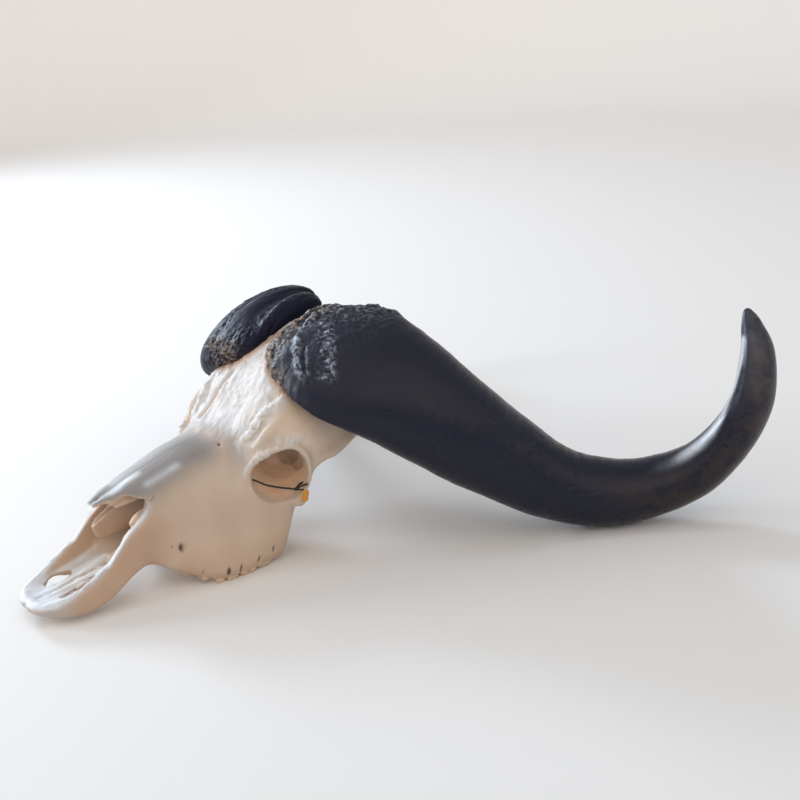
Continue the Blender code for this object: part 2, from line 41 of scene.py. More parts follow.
# Counts: triangles, sides round a sheath and a socket, and steps between two rows of a sheath's route and
# between two outlines of a skin
BONE_TRIANGLES = 190000
HORN_TRIANGLES = 180000
HORN_SIDES = 300
SOCKET_SIDES = 48
ROUTE_STEPS = 24
SKIN_STEPS = 7

# Step between two rings of a sheath in metres: on the boss, how much it grows, from where, over what length
RING_STEP = 0.0009
RING_STEP_GROWTH = 0.0024
RING_GROWTH_START = 0.20
RING_GROWTH_LENGTH = 0.25

# Tint along the sheaths' edges: its reach, and how low and how far forward it can be, in metres
UNDER_HORN_REACH = 0.014
UNDER_HORN_LOWEST = 0.13
UNDER_HORN_FOREMOST = -0.15

# Camera, as the photograph was taken
CAMERA_PLACE = (1.3333, -0.8946, 0.7145)
CAMERA_AZIMUTH_DEG = 52.06
CAMERA_ELEVATION_DEG = 19.07
CAMERA_ROLL_DEG = -3.60
CAMERA_LENS_MM = 54.0
CAMERA_SENSOR_MM = 36.0

# Stage: flat radius, radius of the curve up, height of its wall, in metres, and steps round and up
STAGE_RADIUS = 5.0
STAGE_CURVE = 1.5
STAGE_HEIGHT = 2.4
STAGE_SIDES = 96
STAGE_CURVE_STEPS = 12

# Light of the room: the side it comes from, and its colour there and on the other sides
ROOM_SIDE = (0.87, -0.47, 0.12)
NEAR_SIDE = (1.25, 1.13, 1.02)
FAR_SIDE = (0.48, 0.49, 0.50)

# Lights: name, place, place that it faces, size in metres, power in watts, colour
LIGHTS = (
    ("window", (-1.9, -2.0, 0.75), (0, -0.1, 0.15), 1.1, 42, (0.86, 0.93, 1.0)),
    ("side window", (-4.0, -0.5, 1.8), (0.2, 0, 0.15), 1.2, 100, (0.74, 0.86, 1.0)),
    ("ceiling", (-0.3, -0.6, 2.8), (0.1, 0, 0.2), 0.7, 6, (0.80, 0.90, 1.0)),
)

# Main places on the skull
ORBIT_CENTRE = (110, -6, 128)
ORBIT_AXIS = (0.898, -0.435, -0.065)
# Radii of the socket's mouth at every 30 degrees, from the front over the top to the back
ORBIT_MOUTH = (41, 35, 28.5, 29.5, 34.5, 35, 34.5, 37, 39.5, 41.5, 42.5, 41.5)
# Radii of the rim's own middle line at the same places
ORBIT_RIM = (45, 39, 32.5, 33.5, 38.5, 38, 35.5, 38.5, 43, 45.5, 46.5, 45.5)
# The rim's depth at its middle line, its half sizes along and across the socket's axis, and its steps
RIM_DEPTH = -4
RIM_HALF_LONG = 4.6
RIM_HALF_ACROSS = 4
RIM_STEPS = 24

# Half outlines of the face, from the top of the middle line round to the palate: y, then (x, z)
FACE_STATIONS = (
    (-203, ((0, 125), (19, 123), (39, 106), (53, 87), (57, 62), (52, 37), (36, 32), (0, 34))),
    (-170, ((0, 138), (23, 135), (46, 119), (59, 97), (61, 62), (52, 37), (34, 32), (0, 34))),
    (-136, ((0, 149), (26, 145), (52, 129), (66, 98), (69, 60), (62, 18), (41, 16), (0, 34))),
    (-100, ((0, 159), (30, 155), (58, 139), (78, 106), (87, 62), (88, 4), (58, 7), (0, 36))),
    (-60, ((0, 166), (35, 162), (64, 147), (84, 116), (93, 70), (91.5, 2.5), (60, 6), (0, 36))),
    (-25, ((0, 184), (44, 180), (74, 166), (94, 140), (103, 96), (90, 4.5), (60, 8), (0, 35))),
    (5, ((0, 213), (44, 211), (84, 203), (107, 176), (112, 100), (86, 14), (58, 15), (0, 36))),
    (35, ((0, 244), (46, 241), (90, 220), (118, 178), (116, 124), (60, 74), (34, 54), (0, 52))),
    (70, ((0, 271), (42, 268), (92, 242), (115, 188), (113, 136), (64, 104), (36, 82), (0, 78))),
    (110, ((0, 288), (40, 285), (88, 260), (109, 200), (105, 148), (70, 124), (40, 106), (0, 100))),
    (146, ((0, 276), (40, 272), (82, 246), (94, 194), (88, 154), (64, 132), (38, 118), (0, 112))),
    (172, ((0, 246), (38, 243), (74, 222), (86, 188), (80, 158), (56, 138), (32, 126), (0, 120))),
)

# Left side wall of the snout: centre, half height, half thickness
SNOUT_WALL = (
    ((52, -188, 68), 30, 5.5),
    ((50.5, -212, 51), 26, 5.5),
    ((50, -236, 31), 22, 5.5),
    ((49, -258, 20), 20, 5.5),
    ((45, -280, 16), 16, 6.0),
    ((38, -298, 15), 12, 7.0),
    ((25, -311, 15), 9.0, 8.0),
    ((9, -316, 14.5), 8.0, 8.0),
    ((0, -314.5, 14.5), 7.5, 7.5),
)

# Side outline (y, z) of the gap between the nasal bones and the snout's side wall
NOTCH_OUTLINE = ((-163, 120), (-168, 112), (-176, 104), (-189, 94.5), (-203, 84), (-213, 73), (-229, 56),
                 (-270, 42), (-270, 140), (-206, 134), (-186, 127), (-170, 122))

# Cheek teeth of the left side: name, y, x, length, width, height of the worn face over the ground
TEETH = (
    ("premolar_2", -125.0, 53, 14.6, 14, 13.5),
    ("premolar_3", -109.5, 67, 14.2, 17, 6.0),
    ("premolar_4", -95.2, 75, 13.2, 20, 0.0),
    ("molar_1", -78.8, 76.5, 18.2, 24, 0.0),
    ("molar_2", -55.7, 77, 26.4, 25, 0.4),
    ("molar_3", -30.2, 75.5, 23.4, 24, 1.6),
)
TOOTH_ROOT_TOP = 34

# Horn routes, all written for the left side: centre, half width across the boss, and half thickness
# above and below
LEFT_START = (
    ((8, 113, 284), 14, 6, 5),
    ((14, 113, 284), 37, 13, 12),
    ((24, 112, 283), 56, 19, 18),
)
RIGHT_START = (
    ((8, 113, 284), 42, 17, 5),
    ((14, 113, 284), 52, 23, 12),
    ((24, 112, 283), 60, 27, 18),
)
HORN_BASE = (
    ((38, 110, 279), 73, 25, 24),
    ((58, 108, 271), 86, 35, 27),
    ((84, 109, 263), 93, 42, 25),
    ((118, 117, 249), 98, 46, 24),
    ((162, 149, 218), 85, 51, 43),
    ((207, 199, 166), 73, 50, 44),
    ((242, 259, 112), 62, 46, 44),
)
LEFT_TIP = (
    ((277, 318, 66), 52, 45, 44),
    ((316, 376, 46), 48, 43, 45),
    ((354, 424, 50), 43, 40, 40),
    ((396, 467, 74), 40, 36, 36),
    ((428, 498, 119), 36, 31, 31),
    ((446, 517, 172), 32, 27, 27),
    ((445, 527, 230), 25, 21, 21),
    ((432, 530, 268), 15, 13, 13),
    ((424.5, 531, 284), 7.4, 7, 7),
    ((423, 531, 288.5), 4.4, 4.2, 4.2),
    ((422.6, 531, 290), 1.5, 1.5, 1.5),
)
RIGHT_TIP = (
    ((281, 318, 66), 52, 45, 44),
    ((324, 374, 46), 48, 43, 45),
    ((368, 420, 46), 43, 39, 39),
    ((410, 463, 58), 39, 34, 34),
    ((440, 506, 80), 34, 29, 29),
    ((451, 546, 106), 27, 23, 23),
    ((448, 576, 128), 17, 15, 15),
    ((443, 590, 138), 6, 6, 6),
)
BOSS_LEAN = (0.0, 0.94, 0.34)

# Lumps of the boss, in metres: how far out they reach, their height, and their count per metre
BOSS_REACH = 0.21
BOSS_LUMP = 0.0035
LUMPS_PER_M = (34, 22, 22)
RIDGES_PER_M = (60, 18, 18)

# Lines and marks on the left side of the bone, in millimetres; most have a twin on the right side
NASAL_EDGE = ((42, -184, 117), (44, -168, 124), (42, -140, 136), (38, -110, 147), (36, -80, 157),
              (34, -58, 165), (20, -40, 175), (0, -34, 180))
NOSE_CRACK = ((41, -184, 116), (45, -176, 116), (48, -166, 118), (47, -157, 124))
SIDE_CRACK = ((57.6, -171, 99.3), (61, -159, 97.8), (63, -149, 96.6))
SOCKET_SUTURE = ((71.6, -37.8, 155.9), (80.5, -42, 141.6), (86.8, -47.8, 124.4), (94.1, -44, 104.6),
                 (101.8, -26.4, 87.5), (105.6, -3.6, 77.1))
CHEEK_ARC = ((88.9, -83.3, 45.7), (90.6, -72.2, 46.8), (92.2, -56.9, 43.5), (92, -45.3, 36.6))
BROW_RIDGE = ((88, 29, 217), (81, 14, 210), (76, 3, 202), (72, -8, 191), (68, -19, 178), (65, -29, 166))
BROW_STEP = ((87, 21, 208), (82, 7, 200), (77, -4, 192), (75, -14, 182), (70, -24, 170))
BROW_GROOVE = ((80, 31, 221), (74, 17, 213), (68, 6, 205), (62, -4, 197), (57, -13, 188))
RIGHT_GROOVE = ((-42, 22, 228), (-42, 2, 208), (-42, -14, 190), (-42, -30, 176))
TEAR_CREST = ((94, -33, 168), (91.5, -38, 160), (88, -43, 152), (86, -45, 143), (85.5, -46, 131))
CREST_LINE = ((50, -166, 114), (51.8, -176.6, 106), (52.5, -195, 92), (53.2, -208, 82), (53.5, -215, 74),
              (53, -231, 57), (52.5, -245, 46), (50, -262, 37), (46, -280, 31), (38, -298, 27),
              (26, -308, 24))
BROW_BAND = ((92, -38, 148), (99, -25, 156), (104, -13, 164), (110, 2, 169), (115, 14, 171), (118, 24, 169))
FLOOR_RIDGE = ((-9, -262, 27), (-12, -240, 30), (-12, -224, 34), (-13, -207, 39))
FLOOR_SEAM = ((0, -322, 16), (2, -295, 21), (-2, -268, 25), (-4.5, -253, 26), (-0.5, -226, 31))
FRONT_SLIT = ((20, -284, 20), (18, -273, 21), (16, -262, 22))
REAR_SLIT = ((13, -247, 27), (14, -235, 29))
# Lines of painted highlight on the nasal bones
NASAL_HIGHLIGHTS = ((10.2, -195, 129), (5.1, -176.5, 135.5), (5.9, -159.3, 141.5))
NASAL_HIGHLIGHTS_LOW = ((31.9, -155.5, 135.5), (33.1, -135.5, 142.1), (33.9, -115, 148.6))
SCROLL_TOP = ((-14, -206, 92), (-17, -188, 97), (-21, -165, 100))

# Cracks and grooves: line, depth and width. The first have twins on the right side, the others have none
TWIN_CUTS = ((NASAL_EDGE, 0.4, 1.4), (SOCKET_SUTURE, 0.9, 1.5), (SIDE_CRACK, 0.5, 1.2),
             (CHEEK_ARC, 0.5, 1.6), (BROW_GROOVE, 1.8, 2.4))
OWN_CUTS = ((NOSE_CRACK, 1.6, 1.1), (FLOOR_SEAM, 2.4, 1.6), (FRONT_SLIT, 2.4, 2.0), (REAR_SLIT, 2.2, 1.8),
            (RIGHT_GROOVE, 3.4, 5.0), (RIGHT_GROOVE, 1.4, 1.8))

# Thin bumpy ridges: line, width, height and seed of the bumps
BUMPY_LINES = ((BROW_STEP, 2.8, 1.92, 63), (TEAR_CREST, 2.6, 2.34, 65))

# Dark lines: line, strength and width. The nose's crack and the floor's seam are dark joints; the two slits
# and the groove along the scroll's top are painted shade in their recesses
DARK_LINES = ((NOSE_CRACK, 1.0, 1.3), (FLOOR_SEAM, 0.6, 1.3), (FRONT_SLIT, 0.9, 2.2), (REAR_SLIT, 0.9, 2.0),
              (SCROLL_TOP, 0.3, 6))

# The hole in front of the cheek, painted dark as the shade inside it, and the smear under it
FORAMEN = (67.6, -137.3, 52.7)
UNDER_FORAMEN = (67, -128, 41)

# Small pits: centre, radii, depth and darkness; the darkness is painted shade in the pit
BROW_PIT = (71, 17, 213)
PITS = (
    (BROW_PIT, (9, 13, 9), 3.2, 0),
    ((64.5, -149.3, 57.2), (5, 1.6, 1.8), 1.6, 1),
    ((64.9, -144.4, 52.9), (5, 1.4, 1.6), 1.6, 0),
    ((40.4, -54, 163.2), (3.4, 2, 5), 2.0, 1),
)

# The hollow behind the socket, painted dark as the shade inside it
ORBIT_SHADE = (62, 36, 128)
ORBIT_SHADE_RADII = (17, 17, 14)

# Slits in the gum's bone between the teeth: their x, and the y and z of each. They are cut in and painted
# dark as the shade between the teeth
GUM_X = 88
TOOTH_SLITS = ((-117, 15), (-87.5, 10), (-69, 9), (-42, 13), (-19, 21))

# Patches of colour on the temple and over the brow: centre and radii. The pale and the warm patch are
# painted light that lifts the horn's shadow off the temple; the others are brown stain
TEMPLE_PALE_LIGHT = ((112, 66, 178), (30, 50, 34))
TEMPLE_WARM_LIGHT = ((108, 60, 180), (34, 66, 44))
TEMPLE_STAIN = ((114, 70, 165), (24, 46, 34))
BROW_STAIN = ((101, 32, 200), (26, 30, 20))

# Way back and up along the forehead, in y and z, and the mean radius of the socket's rim
FOREHEAD_SLOPE = (0.81, 0.58)
RIM_MEAN = 40

# Lines on the left boss, in millimetres: its front edge on the bone, the raised collar behind that edge
# with a groove and a thin ridge next to it, and further out the bar of lumps and the rungs across it
BOSS_EDGE = ((30, 120, 304), (33, 99, 301), (32, 63, 287), (47, 30, 256), (60, 24, 238), (80, 22, 226))
COLLAR = ((39, 147, 306), (48, 110, 304), (52, 90, 300), (65, 68, 290), (87, 47, 276), (109, 33, 257),
          (127, 30, 241), (140, 32, 222))
COLLAR_GROOVE = ((55, 140, 307), (58, 106, 302), (63, 90, 298), (76, 70, 288), (97, 49, 275),
                 (117, 36, 257), (134, 33, 238))
THIN_RIDGE = ((81, 74, 289), (102, 53, 276), (121, 39, 258), (138, 36, 240))
LUMP_BAR = ((87, 89, 301), (104, 88, 295), (125, 76, 284), (137, 64, 269), (146, 57, 256), (149, 54, 250))
RUNGS = ((92, 84, 298), (112, 72, 287), (127, 60, 273), (136, 53, 261), (140, 49, 254))
BOSS_TOP = (78, 145, 306)
RUNG_PITCH = 9.5
RUNG_WAY = (0.587, -0.48, -0.65)
# Heights between which the collar rises out of the sheath
COLLAR_END = (236, 262)

# Band and crust of the right boss, the side of it that holds dust and a painted rim highlight, and the worn
# streak of the left horn with a painted reflection on it
RIGHT_BAND = ((-107, 22, 244), (-102, 31, 258), (-103, 55, 279), (-127, 96, 291), (-98, 147, 311))
RIGHT_CRUST = (-72, 28, 248)
RIGHT_LIGHT_SIDE = (-0.62, -0.41, 0.67)
REFLECTION_STREAK = ((376, 418, 88), (389, 433, 96), (400, 449, 108), (410, 458, 119), (420, 470, 136),
          (425, 483, 156), (429, 493, 177), (433, 499, 199), (436, 503, 226), (433, 511, 253))

# Sheaths: name, node, side, start and tip of the route, share of the boss's lumps, shine
HORNS = (
    ("left_sheath", "left_horn", 1, LEFT_START, LEFT_TIP, 0.7, 0.30),
    ("right_sheath", "right_horn", -1, RIGHT_START, RIGHT_TIP, 0.3, 0.11),
)
LEFT_SEED = 101
RIGHT_SEED = 99

# Teeth: their squareness, the heights and sizes of their rings from the worn face and from the root's top,
# and the length over which a tooth has a waist
TOOTH_SIDES = 48
TOOTH_SQUARENESS = 0.30
CROWN_PROFILE = ((3.2, 0.30), (2.4, 0.55), (0.6, 0.80), (0, 0.90), (0.8, 0.97), (3, 1.0), (9, 0.99))
ROOT_PROFILE = ((-8, 0.93), (0, 0.86))
WAIST_LENGTH = 20

# Tie and tag, in millimetres: the knot's place, the tag's place, the way it faces and leans, radii of the
# tie and of its leg, and the tag's end radius, half the straight length between its ends, thickness, edge
# and sides
KNOT = (116, 9, 103)
TAG_CENTRE = (129.5, 13.5, 96.5)
TAG_FACING = (0.90, -0.42, 0.05)
TAG_LEAN = (0, 0.25, 1)
CORD_RADIUS = 1.3
LEG_RADIUS = 1.1
TAG_RADIUS = 4.5
TAG_STRAIGHT = 4.0
TAG_THICKNESS = 1.4
TAG_EDGE = 0.4
TAG_SIDES = 40

# Colours
BONE_TAN = (0.60, 0.49, 0.385)
BONE_PINK = (0.55, 0.41, 0.31)
# Warm tan of the painted light in the hollows, on the temple and on the low cheek
BONE_WARM_LIGHT = (0.80, 0.58, 0.41)
BONE_WHITE = (0.635, 0.64, 0.645)
# Bluish white of the painted highlights
BONE_HIGHLIGHT = (0.74, 0.79, 0.86)
# Grey of the painted shade on the nasal bones and the forehead's foot, and of the window's light on the
# snout's end
BONE_SHADE_GREY = (0.250, 0.232, 0.222)
# Brown of stains, and of the painted shade on the snout's sides
BONE_STAIN_AND_SHADE = (0.42, 0.235, 0.135)
# Dark of cracks, and of painted shade in holes, slits and the hollow behind the socket
BONE_DARK = (0.11, 0.065, 0.045)
HORN_BLACK = (0.0070, 0.0080, 0.0215)
HORN_GREY = (0.28, 0.32, 0.385)
HORN_BROWN = (0.045, 0.030, 0.020)
HORN_CRUST = (0.25, 0.165, 0.100)
HORN_TIP = (0.23, 0.25, 0.30)
# Pale bluish of the painted reflection on the left horn
HORN_REFLECTION = (0.66, 0.71, 0.77)
TOOTH_IVORY = (0.70, 0.51, 0.34)
TOOTH_BROWN = (0.50, 0.33, 0.20)
TIE_BLACK = (0.012, 0.012, 0.014)
TAG_AMBER = (0.66, 0.29, 0.035)
FLOOR_PALE = (0.84, 0.84, 0.84)


# Curves and skins

def smooth_rows(rows, steps):
    """Catmull-Rom curve through the rows, with the given steps between two rows."""
    rows = np.array(rows, dtype=float)
    padded = np.vstack([2 * rows[0] - rows[1], rows, 2 * rows[-1] - rows[-2]])
    result = []
    for i in range(1, len(padded) - 2):
        p0, p1, p2, p3 = padded[i - 1:i + 3]
        for k in range(steps):
            t = k / steps
            result.append(0.5 * (2 * p1 + (p2 - p0) * t + (2 * p0 - 5 * p1 + 4 * p2 - p3) * t ** 2
                                 + (3 * p1 - p0 - 3 * p2 + p3) * t ** 3))
    result.append(padded[-2])
    return np.array(result)


def skin_rings(rings):
    """Vertices and faces of a closed skin over rings of equal count, capped at both ends."""
    count = len(rings[0])
    verts = np.concatenate(rings)
    faces = []
    for i in range(len(rings) - 1):
        for k in range(count):
            a = i * count + k
            b = i * count + (k + 1) % count
            faces.append((a, b, b + count, a + count))
    last = (len(rings) - 1) * count
    faces.append(tuple(range(count - 1, -1, -1)))
    faces.append(tuple(last + k for k in range(count)))
    return verts, faces


def mirrored(shape):
    verts, faces = shape
    return verts * np.array([-1, 1, 1]), [tuple(reversed(face)) for face in faces]


def both_sides(shapes):
    return list(shapes) + [mirrored(shape) for shape in shapes]


def taken_from(bm):
    """The vertices and faces of an edit mesh, which is then freed."""
    verts = np.array([v.co[:] for v in bm.verts])
    faces = [tuple(v.index for v in f.verts) for f in bm.faces]
    bm.free()
    return verts, faces


def ball(centre, radii, turn=(0, 0, 0)):
    """An ellipsoid with its centre and radii in millimetres, turned by angles in degrees."""
    bm = bmesh.new()
    bmesh.ops.create_uvsphere(bm, u_segments=32, v_segments=20, radius=1.0)
    rotation = Matrix.Rotation(math.radians(turn[2]), 4, "Z")
    rotation = rotation @ Matrix.Rotation(math.radians(turn[1]), 4, "Y")
    rotation = rotation @ Matrix.Rotation(math.radians(turn[0]), 4, "X")
    size = Matrix.Diagonal((*[r * MM for r in radii], 1))
    bm.transform(Matrix.Translation(Vector(centre) * MM) @ rotation @ size)
    return taken_from(bm)


def swept_rings(curve, lean, sides):
    """Rings along a curve whose rows hold a centre, a half width and two half thicknesses."""
    centres = curve[:, :3]
    tangents = np.gradient(centres, axis=0)
    tangents /= np.linalg.norm(tangents, axis=1)[:, None]
    angles = 2 * math.pi * np.arange(sides) / sides
    rings = []
    before = np.array((0.0, 0.0, 1.0))
    for centre, tangent, row in zip(centres, tangents, curve):
        broad = np.array(lean, dtype=float)
        broad -= tangent * broad.dot(tangent)
        broad /= np.linalg.norm(broad)
        across = np.cross(tangent, broad)
        if across.dot(before) < 0:
            across = -across
        before = across
        thick = np.where(np.sin(angles) > 0, row[4], row[5]) * np.sin(angles)
        rings.append(centre + np.outer(row[3] * np.cos(angles), broad) + np.outer(thick, across))
    return rings


def sweep(rows, lean=(0, 0, 1), steps=6, sides=20):
    """A bar along a smooth route. Each row is a centre, the half size along the lean direction, and
    the half size across it on its upper and, where given, its lower side, all in millimetres."""
    flat = [list(row[0]) + list(row[1:]) + ([row[2]] if len(row) == 3 else []) for row in rows]
    return outward(skin_rings(swept_rings(smooth_rows(flat, steps) * MM, lean, sides)))


def outward(shape):
    """The shape with all its faces turned outward."""
    mesh = bpy.data.meshes.new("turning")
    mesh.from_pydata(shape[0].tolist(), [], shape[1])
    bm = bmesh.new()
    bm.from_mesh(mesh)
    bmesh.ops.recalc_face_normals(bm, faces=bm.faces)
    bpy.data.meshes.remove(mesh)
    return taken_from(bm)


def stations_skin(stations):
    """A closed skin through half outlines that are mirrored in the middle plane."""
    flat = [[y] + [value for point in half for value in point] for y, half in stations]
    rings = []
    for row in smooth_rows(flat, SKIN_STEPS):
        half = row[1:].reshape(-1, 2)
        other = half[-2:0:-1] * np.array([-1, 1])
        loop = np.vstack([half, other])
        closed = np.vstack([loop[-1:], loop, loop[:2]])
        ring = smooth_rows(closed, SKIN_STEPS)[SKIN_STEPS:-SKIN_STEPS - 1]
        rings.append(np.column_stack([ring[:, 0], np.full(len(ring), row[0]), ring[:, 1]]) * MM)
    return outward(skin_rings(rings))


def prism(outline, low_x, high_x):
    """A block with the given side outline of y and z, between two values of x."""
    rings = [np.array([(x, y, z) for y, z in outline]) * MM for x in (low_x, high_x)]
    return outward(skin_rings(rings))


def mesh_object(name, verts, faces):
    mesh = bpy.data.meshes.new(name)
    mesh.from_pydata(verts.tolist(), [], faces)
    mesh.update()
    obj = bpy.data.objects.new(name, mesh)
    bpy.context.scene.collection.objects.link(obj)
    return obj


def joined_object(name, shapes):
    """One mesh object that holds all the shapes."""
    verts = []
    faces = []
    offset = 0
    for shape_verts, shape_faces in shapes:
        verts.append(shape_verts)
        faces.extend([tuple(i + offset for i in face) for face in shape_faces])
        offset += len(shape_verts)
    return mesh_object(name, np.concatenate(verts), faces)


def settle(obj):
    """Turns the object's modifiers into its mesh."""
    graph = bpy.context.evaluated_depsgraph_get()
    result = bpy.data.meshes.new_from_object(obj.evaluated_get(graph))
    obj.modifiers.clear()
    obj.data = result
    return obj


def remeshed(obj, grain, rounds):
    """The object's shapes grown together into one skin, lightly smoothed."""
    remesh = obj.modifiers.new("grow together", "REMESH")
    remesh.mode = "VOXEL"
    remesh.voxel_size = grain
    smooth = obj.modifiers.new("soften", "SMOOTH")
    smooth.factor = 0.5
    smooth.iterations = rounds
    return settle(obj)


def slim(obj, triangles):
    """Brings the object down to about this many triangles."""
    count = sum(len(polygon.vertices) - 2 for polygon in obj.data.polygons)
    reduce = obj.modifiers.new("reduce", "DECIMATE")
    reduce.ratio = min(1.0, triangles / count)
    settle(obj)


def subtract(obj, cutters):
    """Cuts the cutter objects out of the object and removes them."""
    for cutter in cutters:
        cutter.hide_render = True
        cut = obj.modifiers.new("cut", "BOOLEAN")
        cut.operation = "DIFFERENCE"
        cut.solver = "EXACT"
        cut.object = cutter
    settle(obj)
    for cutter in cutters:
        bpy.data.objects.remove(cutter)
    return obj


def absorb(obj, other):
    """Joins the other object's mesh into the object."""
    with bpy.context.temp_override(active_object=obj, selected_editable_objects=[obj, other]):
        bpy.ops.object.join()


def points_of(obj):
    """The places of the object's vertices, in metres."""
    co = np.empty(len(obj.data.vertices) * 3)
    obj.data.vertices.foreach_get("co", co)
    return co.reshape(-1, 3)


def normals_of(obj):
    """The outward directions at the object's vertices."""
    values = np.empty(len(obj.data.vertices) * 3)
    obj.data.vertices.foreach_get("normal", values)
    return values.reshape(-1, 3)


def push(obj, heights):
    """Moves each vertex along its normal by its height in millimetres."""
    moved = points_of(obj) + normals_of(obj) * (heights * MM)[:, None]
    obj.data.vertices.foreach_set("co", moved.ravel())
    obj.data.update()


def paint(obj, name, values):
    """Keeps one number for each vertex, for the materials to read."""
    layer = obj.data.attributes.new(name, "FLOAT", "POINT")
    layer.data.foreach_set("value", np.clip(values, 0, 1).astype(np.float32))


# Noise and masks, on arrays of points in millimetres

def hashed(cells, seed):
    """A number from 0 to 1 for each whole-numbered cell."""
    n = cells[:, 0] * 73856093 ^ cells[:, 1] * 19349663 ^ cells[:, 2] * 83492791 ^ seed * 2654435761
    n = (n ^ (n >> 15)) * 2246822519 & 0xFFFFFFFF
    n = (n ^ (n >> 13)) * 3266489917 & 0xFFFFFFFF
    return ((n ^ (n >> 16)) & 0xFFFFFF) / float(0xFFFFFF)


def grain_noise(points, sizes, seed):
    """Smooth noise from -1 to 1 whose lumps have one size, or one each along X, Y and Z."""
    scaled = points / np.array(sizes, dtype=float)
    cells = np.floor(scaled).astype(np.int64)
    part = scaled - cells
    ease = part * part * (3 - 2 * part)
    total = np.zeros(len(points))
    for corner in np.ndindex(2, 2, 2):
        weight = np.ones(len(points))
        for axis in range(3):
            weight = weight * (ease[:, axis] if corner[axis] else 1 - ease[:, axis])
        total += weight * hashed(cells + np.array(corner), seed)
    return total * 2 - 1


def layered(points, sizes, seed, layers=3):
    """Noise with finer and fainter layers on top."""
    total = np.zeros(len(points))
    reach = 0.0
    for layer in range(layers):
        share = 0.5 ** layer
        total += share * grain_noise(points, np.array(sizes) * share, seed + layer)
        reach += share
    return total / reach


def fade(values, low, high):
    """0 below low, 1 above high and smooth between. Low may be the larger one."""
    t = np.clip((values - low) / (high - low), 0, 1)
    return t * t * (3 - 2 * t)


def line_distance(points, route):
    """How far each point is from a line through the route's places."""
    nearest = np.full(len(points), 1e9)
    for start, end in zip(route, route[1:]):
        start = np.array(start, dtype=float)
        way = np.array(end, dtype=float) - start
        t = np.clip((points - start) @ way / way.dot(way), 0, 1)
        nearest = np.minimum(nearest, np.linalg.norm(points - start - t[:, None] * way, axis=1))
    return nearest


def near_line(points, route, width):
    """1 on the line and falling off over the width."""
    return np.exp(-(line_distance(points, route) / width) ** 2)


def near_spot(points, centre, radii):
    """1 at the centre and falling off over the radii."""
    return np.exp(-(((points - np.array(centre)) / np.array(radii, dtype=float)) ** 2).sum(axis=1))


# Places on the skull, and masks over them

def twin_of(p):
    """The points with those of the right side moved to their twins' places on the left."""
    return np.abs(p) * np.array([1, 0, 0]) + p * np.array([0, 1, 1])


def wandering(p, base, reach, size, seed):
    """The base places strayed by up to the reach, so that lines near them don't run straight."""
    noises = [grain_noise(p, size, seed + k) for k in range(3)]
    return base + reach * np.column_stack(noises)


def round_the_socket(twin):
    """For each point: how far round the socket's rim it is, its distance from the socket's axis, and how
    far along the axis it is, negative inward."""
    axis = np.array(Vector(ORBIT_AXIS).normalized())
    up = np.array((0, 0, 1)) - axis * axis[2]
    up /= np.linalg.norm(up)
    side = np.cross(axis, up)
    out = twin - np.array(ORBIT_CENTRE)
    angle = np.arctan2(out @ up, out @ side)
    return np.column_stack([angle * RIM_MEAN, np.hypot(out @ up, out @ side), out @ axis])


def forehead_mask(p):
    """1 on the rough bleached forehead between the brows, 0 elsewhere."""
    x, y, z = p.T
    top = fade(z - 150 - 0.9 * (y + 60), -45, -10)
    return top * fade(y, -78, -20) * fade(np.abs(x), 104, 74)


# Shapes of the bone

def face_shapes():
    """Snout, cheeks, forehead and the bone under the bosses."""
    alveolar_ridge = sweep((((52, -134, 21), 9, 10), ((68, -108, 18), 10, 12), ((76, -84, 14.5), 10, 13.5),
                            ((77.5, -56, 14), 10, 14), ((77, -28, 15), 10, 13), ((74, -6, 18), 13, 13),
                            ((72, 6, 32), 16, 12)))
    wall = sweep(SNOUT_WALL)
    front_plate = sweep((((0, -309, 15), 12, 5), ((18, -305, 16), 14, 5), ((36, -294, 18), 14, 6)),
                        (0, 1, 0))
    palatine_rod = sweep((((6, -308, 15), 5, 5), ((6, -262, 21), 5, 5), ((8, -200, 34), 7, 5)), (1, 0, 0))
    nasal_tip = sweep((((10, -190, 127), 11, 4), ((9, -205, 123), 9, 3.8), ((5, -223, 116.5), 5, 2.5)),
                      (1, 0, 0))
    nose_floor = sweep((((22, -300, 15), 22, 5), ((27, -272, 17), 24, 5), ((27, -240, 24), 24, 5),
                        ((27, -200, 36), 24, 6)), (1, 0, 0))
    return [stations_skin(FACE_STATIONS)] + both_sides(
        [alveolar_ridge, wall, front_plate, palatine_rod, nasal_tip, nose_floor])


def radius_at(radii, angle):
    """Radius round the socket at an angle, between the twelve that are given."""
    turn = angle / (2 * math.pi) * len(radii)
    return np.interp(turn, range(len(radii) + 1), radii + radii[:1])


def socket_place(angle, radius, depth):
    """A place round the socket's axis, in millimetres."""
    axis = Vector(ORBIT_AXIS).normalized()
    up = (Vector((0, 0, 1)) - axis * axis.z).normalized()
    side = axis.cross(up)
    return Vector(ORBIT_CENTRE) + axis * depth + (side * math.cos(angle) + up * math.sin(angle)) * radius


def socket_tube(profile):
    """A tube along the socket's axis. Each row is a depth, a radius and how much of the mouth's own
    outline the tube has there, from 0 for a circle to 1."""
    rings = []
    for depth, radius, share in profile:
        ring = []
        for k in range(SOCKET_SIDES):
            angle = 2 * math.pi * k / SOCKET_SIDES
            own = radius * radius_at(ORBIT_MOUTH, angle) / ORBIT_MOUTH[0]
            ring.append(socket_place(angle, radius + share * (own - radius), depth))
        rings.append(np.array(ring) * MM)
    return outward(skin_rings(rings))


def rim_places():
    """Places round the socket's rim, just outside its mouth."""
    places = []
    for k in range(RIM_STEPS + 1):
        angle = 2 * math.pi * (k % RIM_STEPS) / RIM_STEPS
        places.append(socket_place(angle, radius_at(ORBIT_RIM, angle), RIM_DEPTH))
    return places


